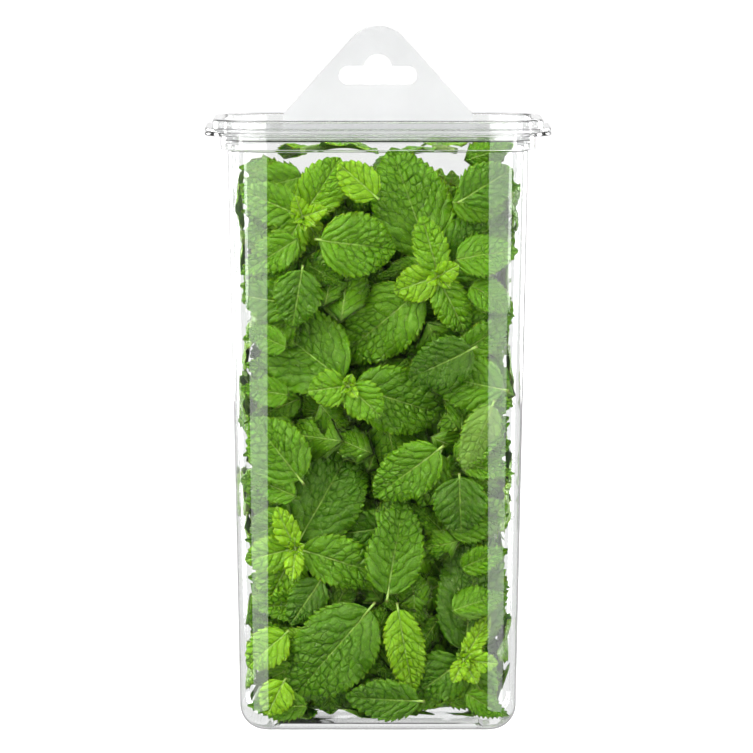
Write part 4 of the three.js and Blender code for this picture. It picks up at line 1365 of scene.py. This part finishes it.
class MINT_OT_stage(bpy.types.Operator):
    """Sets the floor, the lamps and the camera"""

    bl_idname = "mint.stage"
    bl_label = "Stage"

    def execute(self, context):
        stage = context.scene.mint_stage
        scene = context.scene
        mesh = bpy.data.meshes.new("floor")
        corners = [(x * FLOOR_REACH, y * FLOOR_REACH, 0) for x, y in ((-1, -1), (1, -1), (1, 1), (-1, 1))]
        mesh.from_pydata(corners, [], [(0, 1, 2, 3)])
        mesh.materials.append(plain_material("pale_floor", (0.92, 0.92, 0.92), 0.7, 1.0))
        floor = stand("floor", mesh)
        floor.location.z = -0.0002
        floor.visible_glossy = floor.visible_transmission = floor.visible_diffuse = False

        for name, (at, size, power) in LAMPS.items():
            self.lamp(name, at, size, power * stage.light)
        glow = glow_material("strip_glow", STRIP_GLOW)
        for number, hand in enumerate((-1, 1)):
            self.card(f"strip_{number}", hand, glow)
        self.surround(scene, stage)

        camera = bpy.data.cameras.new("camera")
        camera.sensor_width = 36
        camera.clip_end = 50
        eye = Vector((0, -stage.distance, stage.height))
        aim = Vector((-0.0006, 0, stage.aim))
        camera.lens = 36 * (aim - eye).length / stage.width
        holder = stand("camera", camera)
        holder.location = eye
        holder.rotation_euler = (aim - eye).to_track_quat("-Z", "Y").to_euler()
        scene.camera = holder
        scene.view_settings.view_transform = "Standard"
        return {"FINISHED"}

    def card(self, name, hand, glow):
        """A tall card at the side that draws a clean white band on an upright corner."""
        near, far = (hand * 0.285, -1.48), (hand * 0.96, -0.41)
        corners = [(*near, -0.5), (*far, -0.5), (*far, 0.5), (*near, 0.5)]
        mesh = bpy.data.meshes.new(name)
        mesh.from_pydata(corners, [], [(0, 1, 2, 3)])
        mesh.materials.append(glow)
        card = stand(name, mesh)
        for ray in ("camera", "diffuse", "shadow", "volume_scatter"):
            setattr(card, "visible_" + ray, False)

    def surround(self, scene, stage):
        """White behind the pack and grey to dark round it, so that clear edges are drawn."""
        world = bpy.data.worlds.new("studio")
        scene.world = world
        world.use_nodes = True
        sky = Nodes(world.node_tree)
        way = sky.node("ShaderNodeSeparateXYZ")
        sky.link(sky.node("ShaderNodeTexCoord").outputs["Generated"], way.inputs[0])
        ray = sky.node("ShaderNodeLightPath").outputs
        ahead = sky.band(way.outputs["Y"], -1.0, 1.0, 0.0, 1.0)
        grey = sky.ramp(ahead, [(at, (level, level, level)) for at, level in BACKDROP])

        # plastic stays clear where it is looked through downwards or from behind
        below = sky.band(way.outputs["Z"], -0.3, -0.12)
        front = sky.band(way.outputs["Y"], -0.35, -0.15)
        straight = sky.band(ray["Glossy Depth"], 0.4, 0.6)
        lifted = sky.times(sky.math("MAXIMUM", below, front), straight)
        seen = sky.tree.nodes["Background"]
        sky.link(sky.mix(lifted, grey, (0.95, 0.95, 0.95)), seen.inputs["Color"])
        seen.inputs["Strength"].default_value = 1.05

        soft = sky.node("ShaderNodeBackground")
        sky.fill(soft.inputs, ((1, 1, 1), stage.ambient))
        sharp = sky.math("MAXIMUM", ray["Is Camera Ray"], ray["Is Transmission Ray"])
        sharp = sky.math("MAXIMUM", sharp, ray["Is Glossy Ray"])
        both = sky.node("ShaderNodeMixShader")
        sky.fill(both.inputs, (sharp, soft.outputs[0], seen.outputs[0]))
        sky.link(both.outputs[0], sky.tree.nodes["World Output"].inputs["Surface"])

    def lamp(self, name, at, size, power):
        light = bpy.data.lights.new(name, "AREA")
        light.shape = "RECTANGLE"
        light.size, light.size_y = size
        light.energy = power
        holder = stand(name, light)
        holder.location = at
        aim = Vector((0, 0, 0.12)) - Vector(at)
        holder.rotation_euler = aim.to_track_quat("-Z", "Y").to_euler()


class MINT_PT_panel(bpy.types.Panel):
    bl_label = "Mint in a tub"
    bl_idname = "MINT_PT_panel"
    bl_space_type = "VIEW_3D"
    bl_region_type = "UI"
    bl_category = "Mint"

    def draw(self, context):
        for settings in (context.scene.mint, context.scene.mint_pack, context.scene.mint_stage):
            box = self.layout.box()
            for key in settings.__annotations__:
                box.prop(settings, key)
        for operator in OPERATORS:
            self.layout.operator(operator.bl_idname)


SETTINGS = {"mint": MintSettings, "mint_pack": PackSettings, "mint_stage": StageSettings}
OPERATORS = (MINT_OT_stage, MINT_OT_pack, MINT_OT_sprigs, MINT_OT_loose)


def register():
    for cls in (*SETTINGS.values(), *OPERATORS, MINT_PT_panel):
        bpy.utils.register_class(cls)
    for name, cls in SETTINGS.items():
        setattr(bpy.types.Scene, name, PointerProperty(type=cls))


def unregister():
    for name in SETTINGS:
        delattr(bpy.types.Scene, name)
    for cls in (MINT_PT_panel, *OPERATORS[::-1], *list(SETTINGS.values())[::-1]):
        bpy.utils.unregister_class(cls)


def main():
    register()
    bpy.ops.mint.stage()
    bpy.ops.mint.pack()
    bpy.ops.mint.sprigs()
    bpy.ops.mint.loose()


if __name__ == "__main__":
    main()
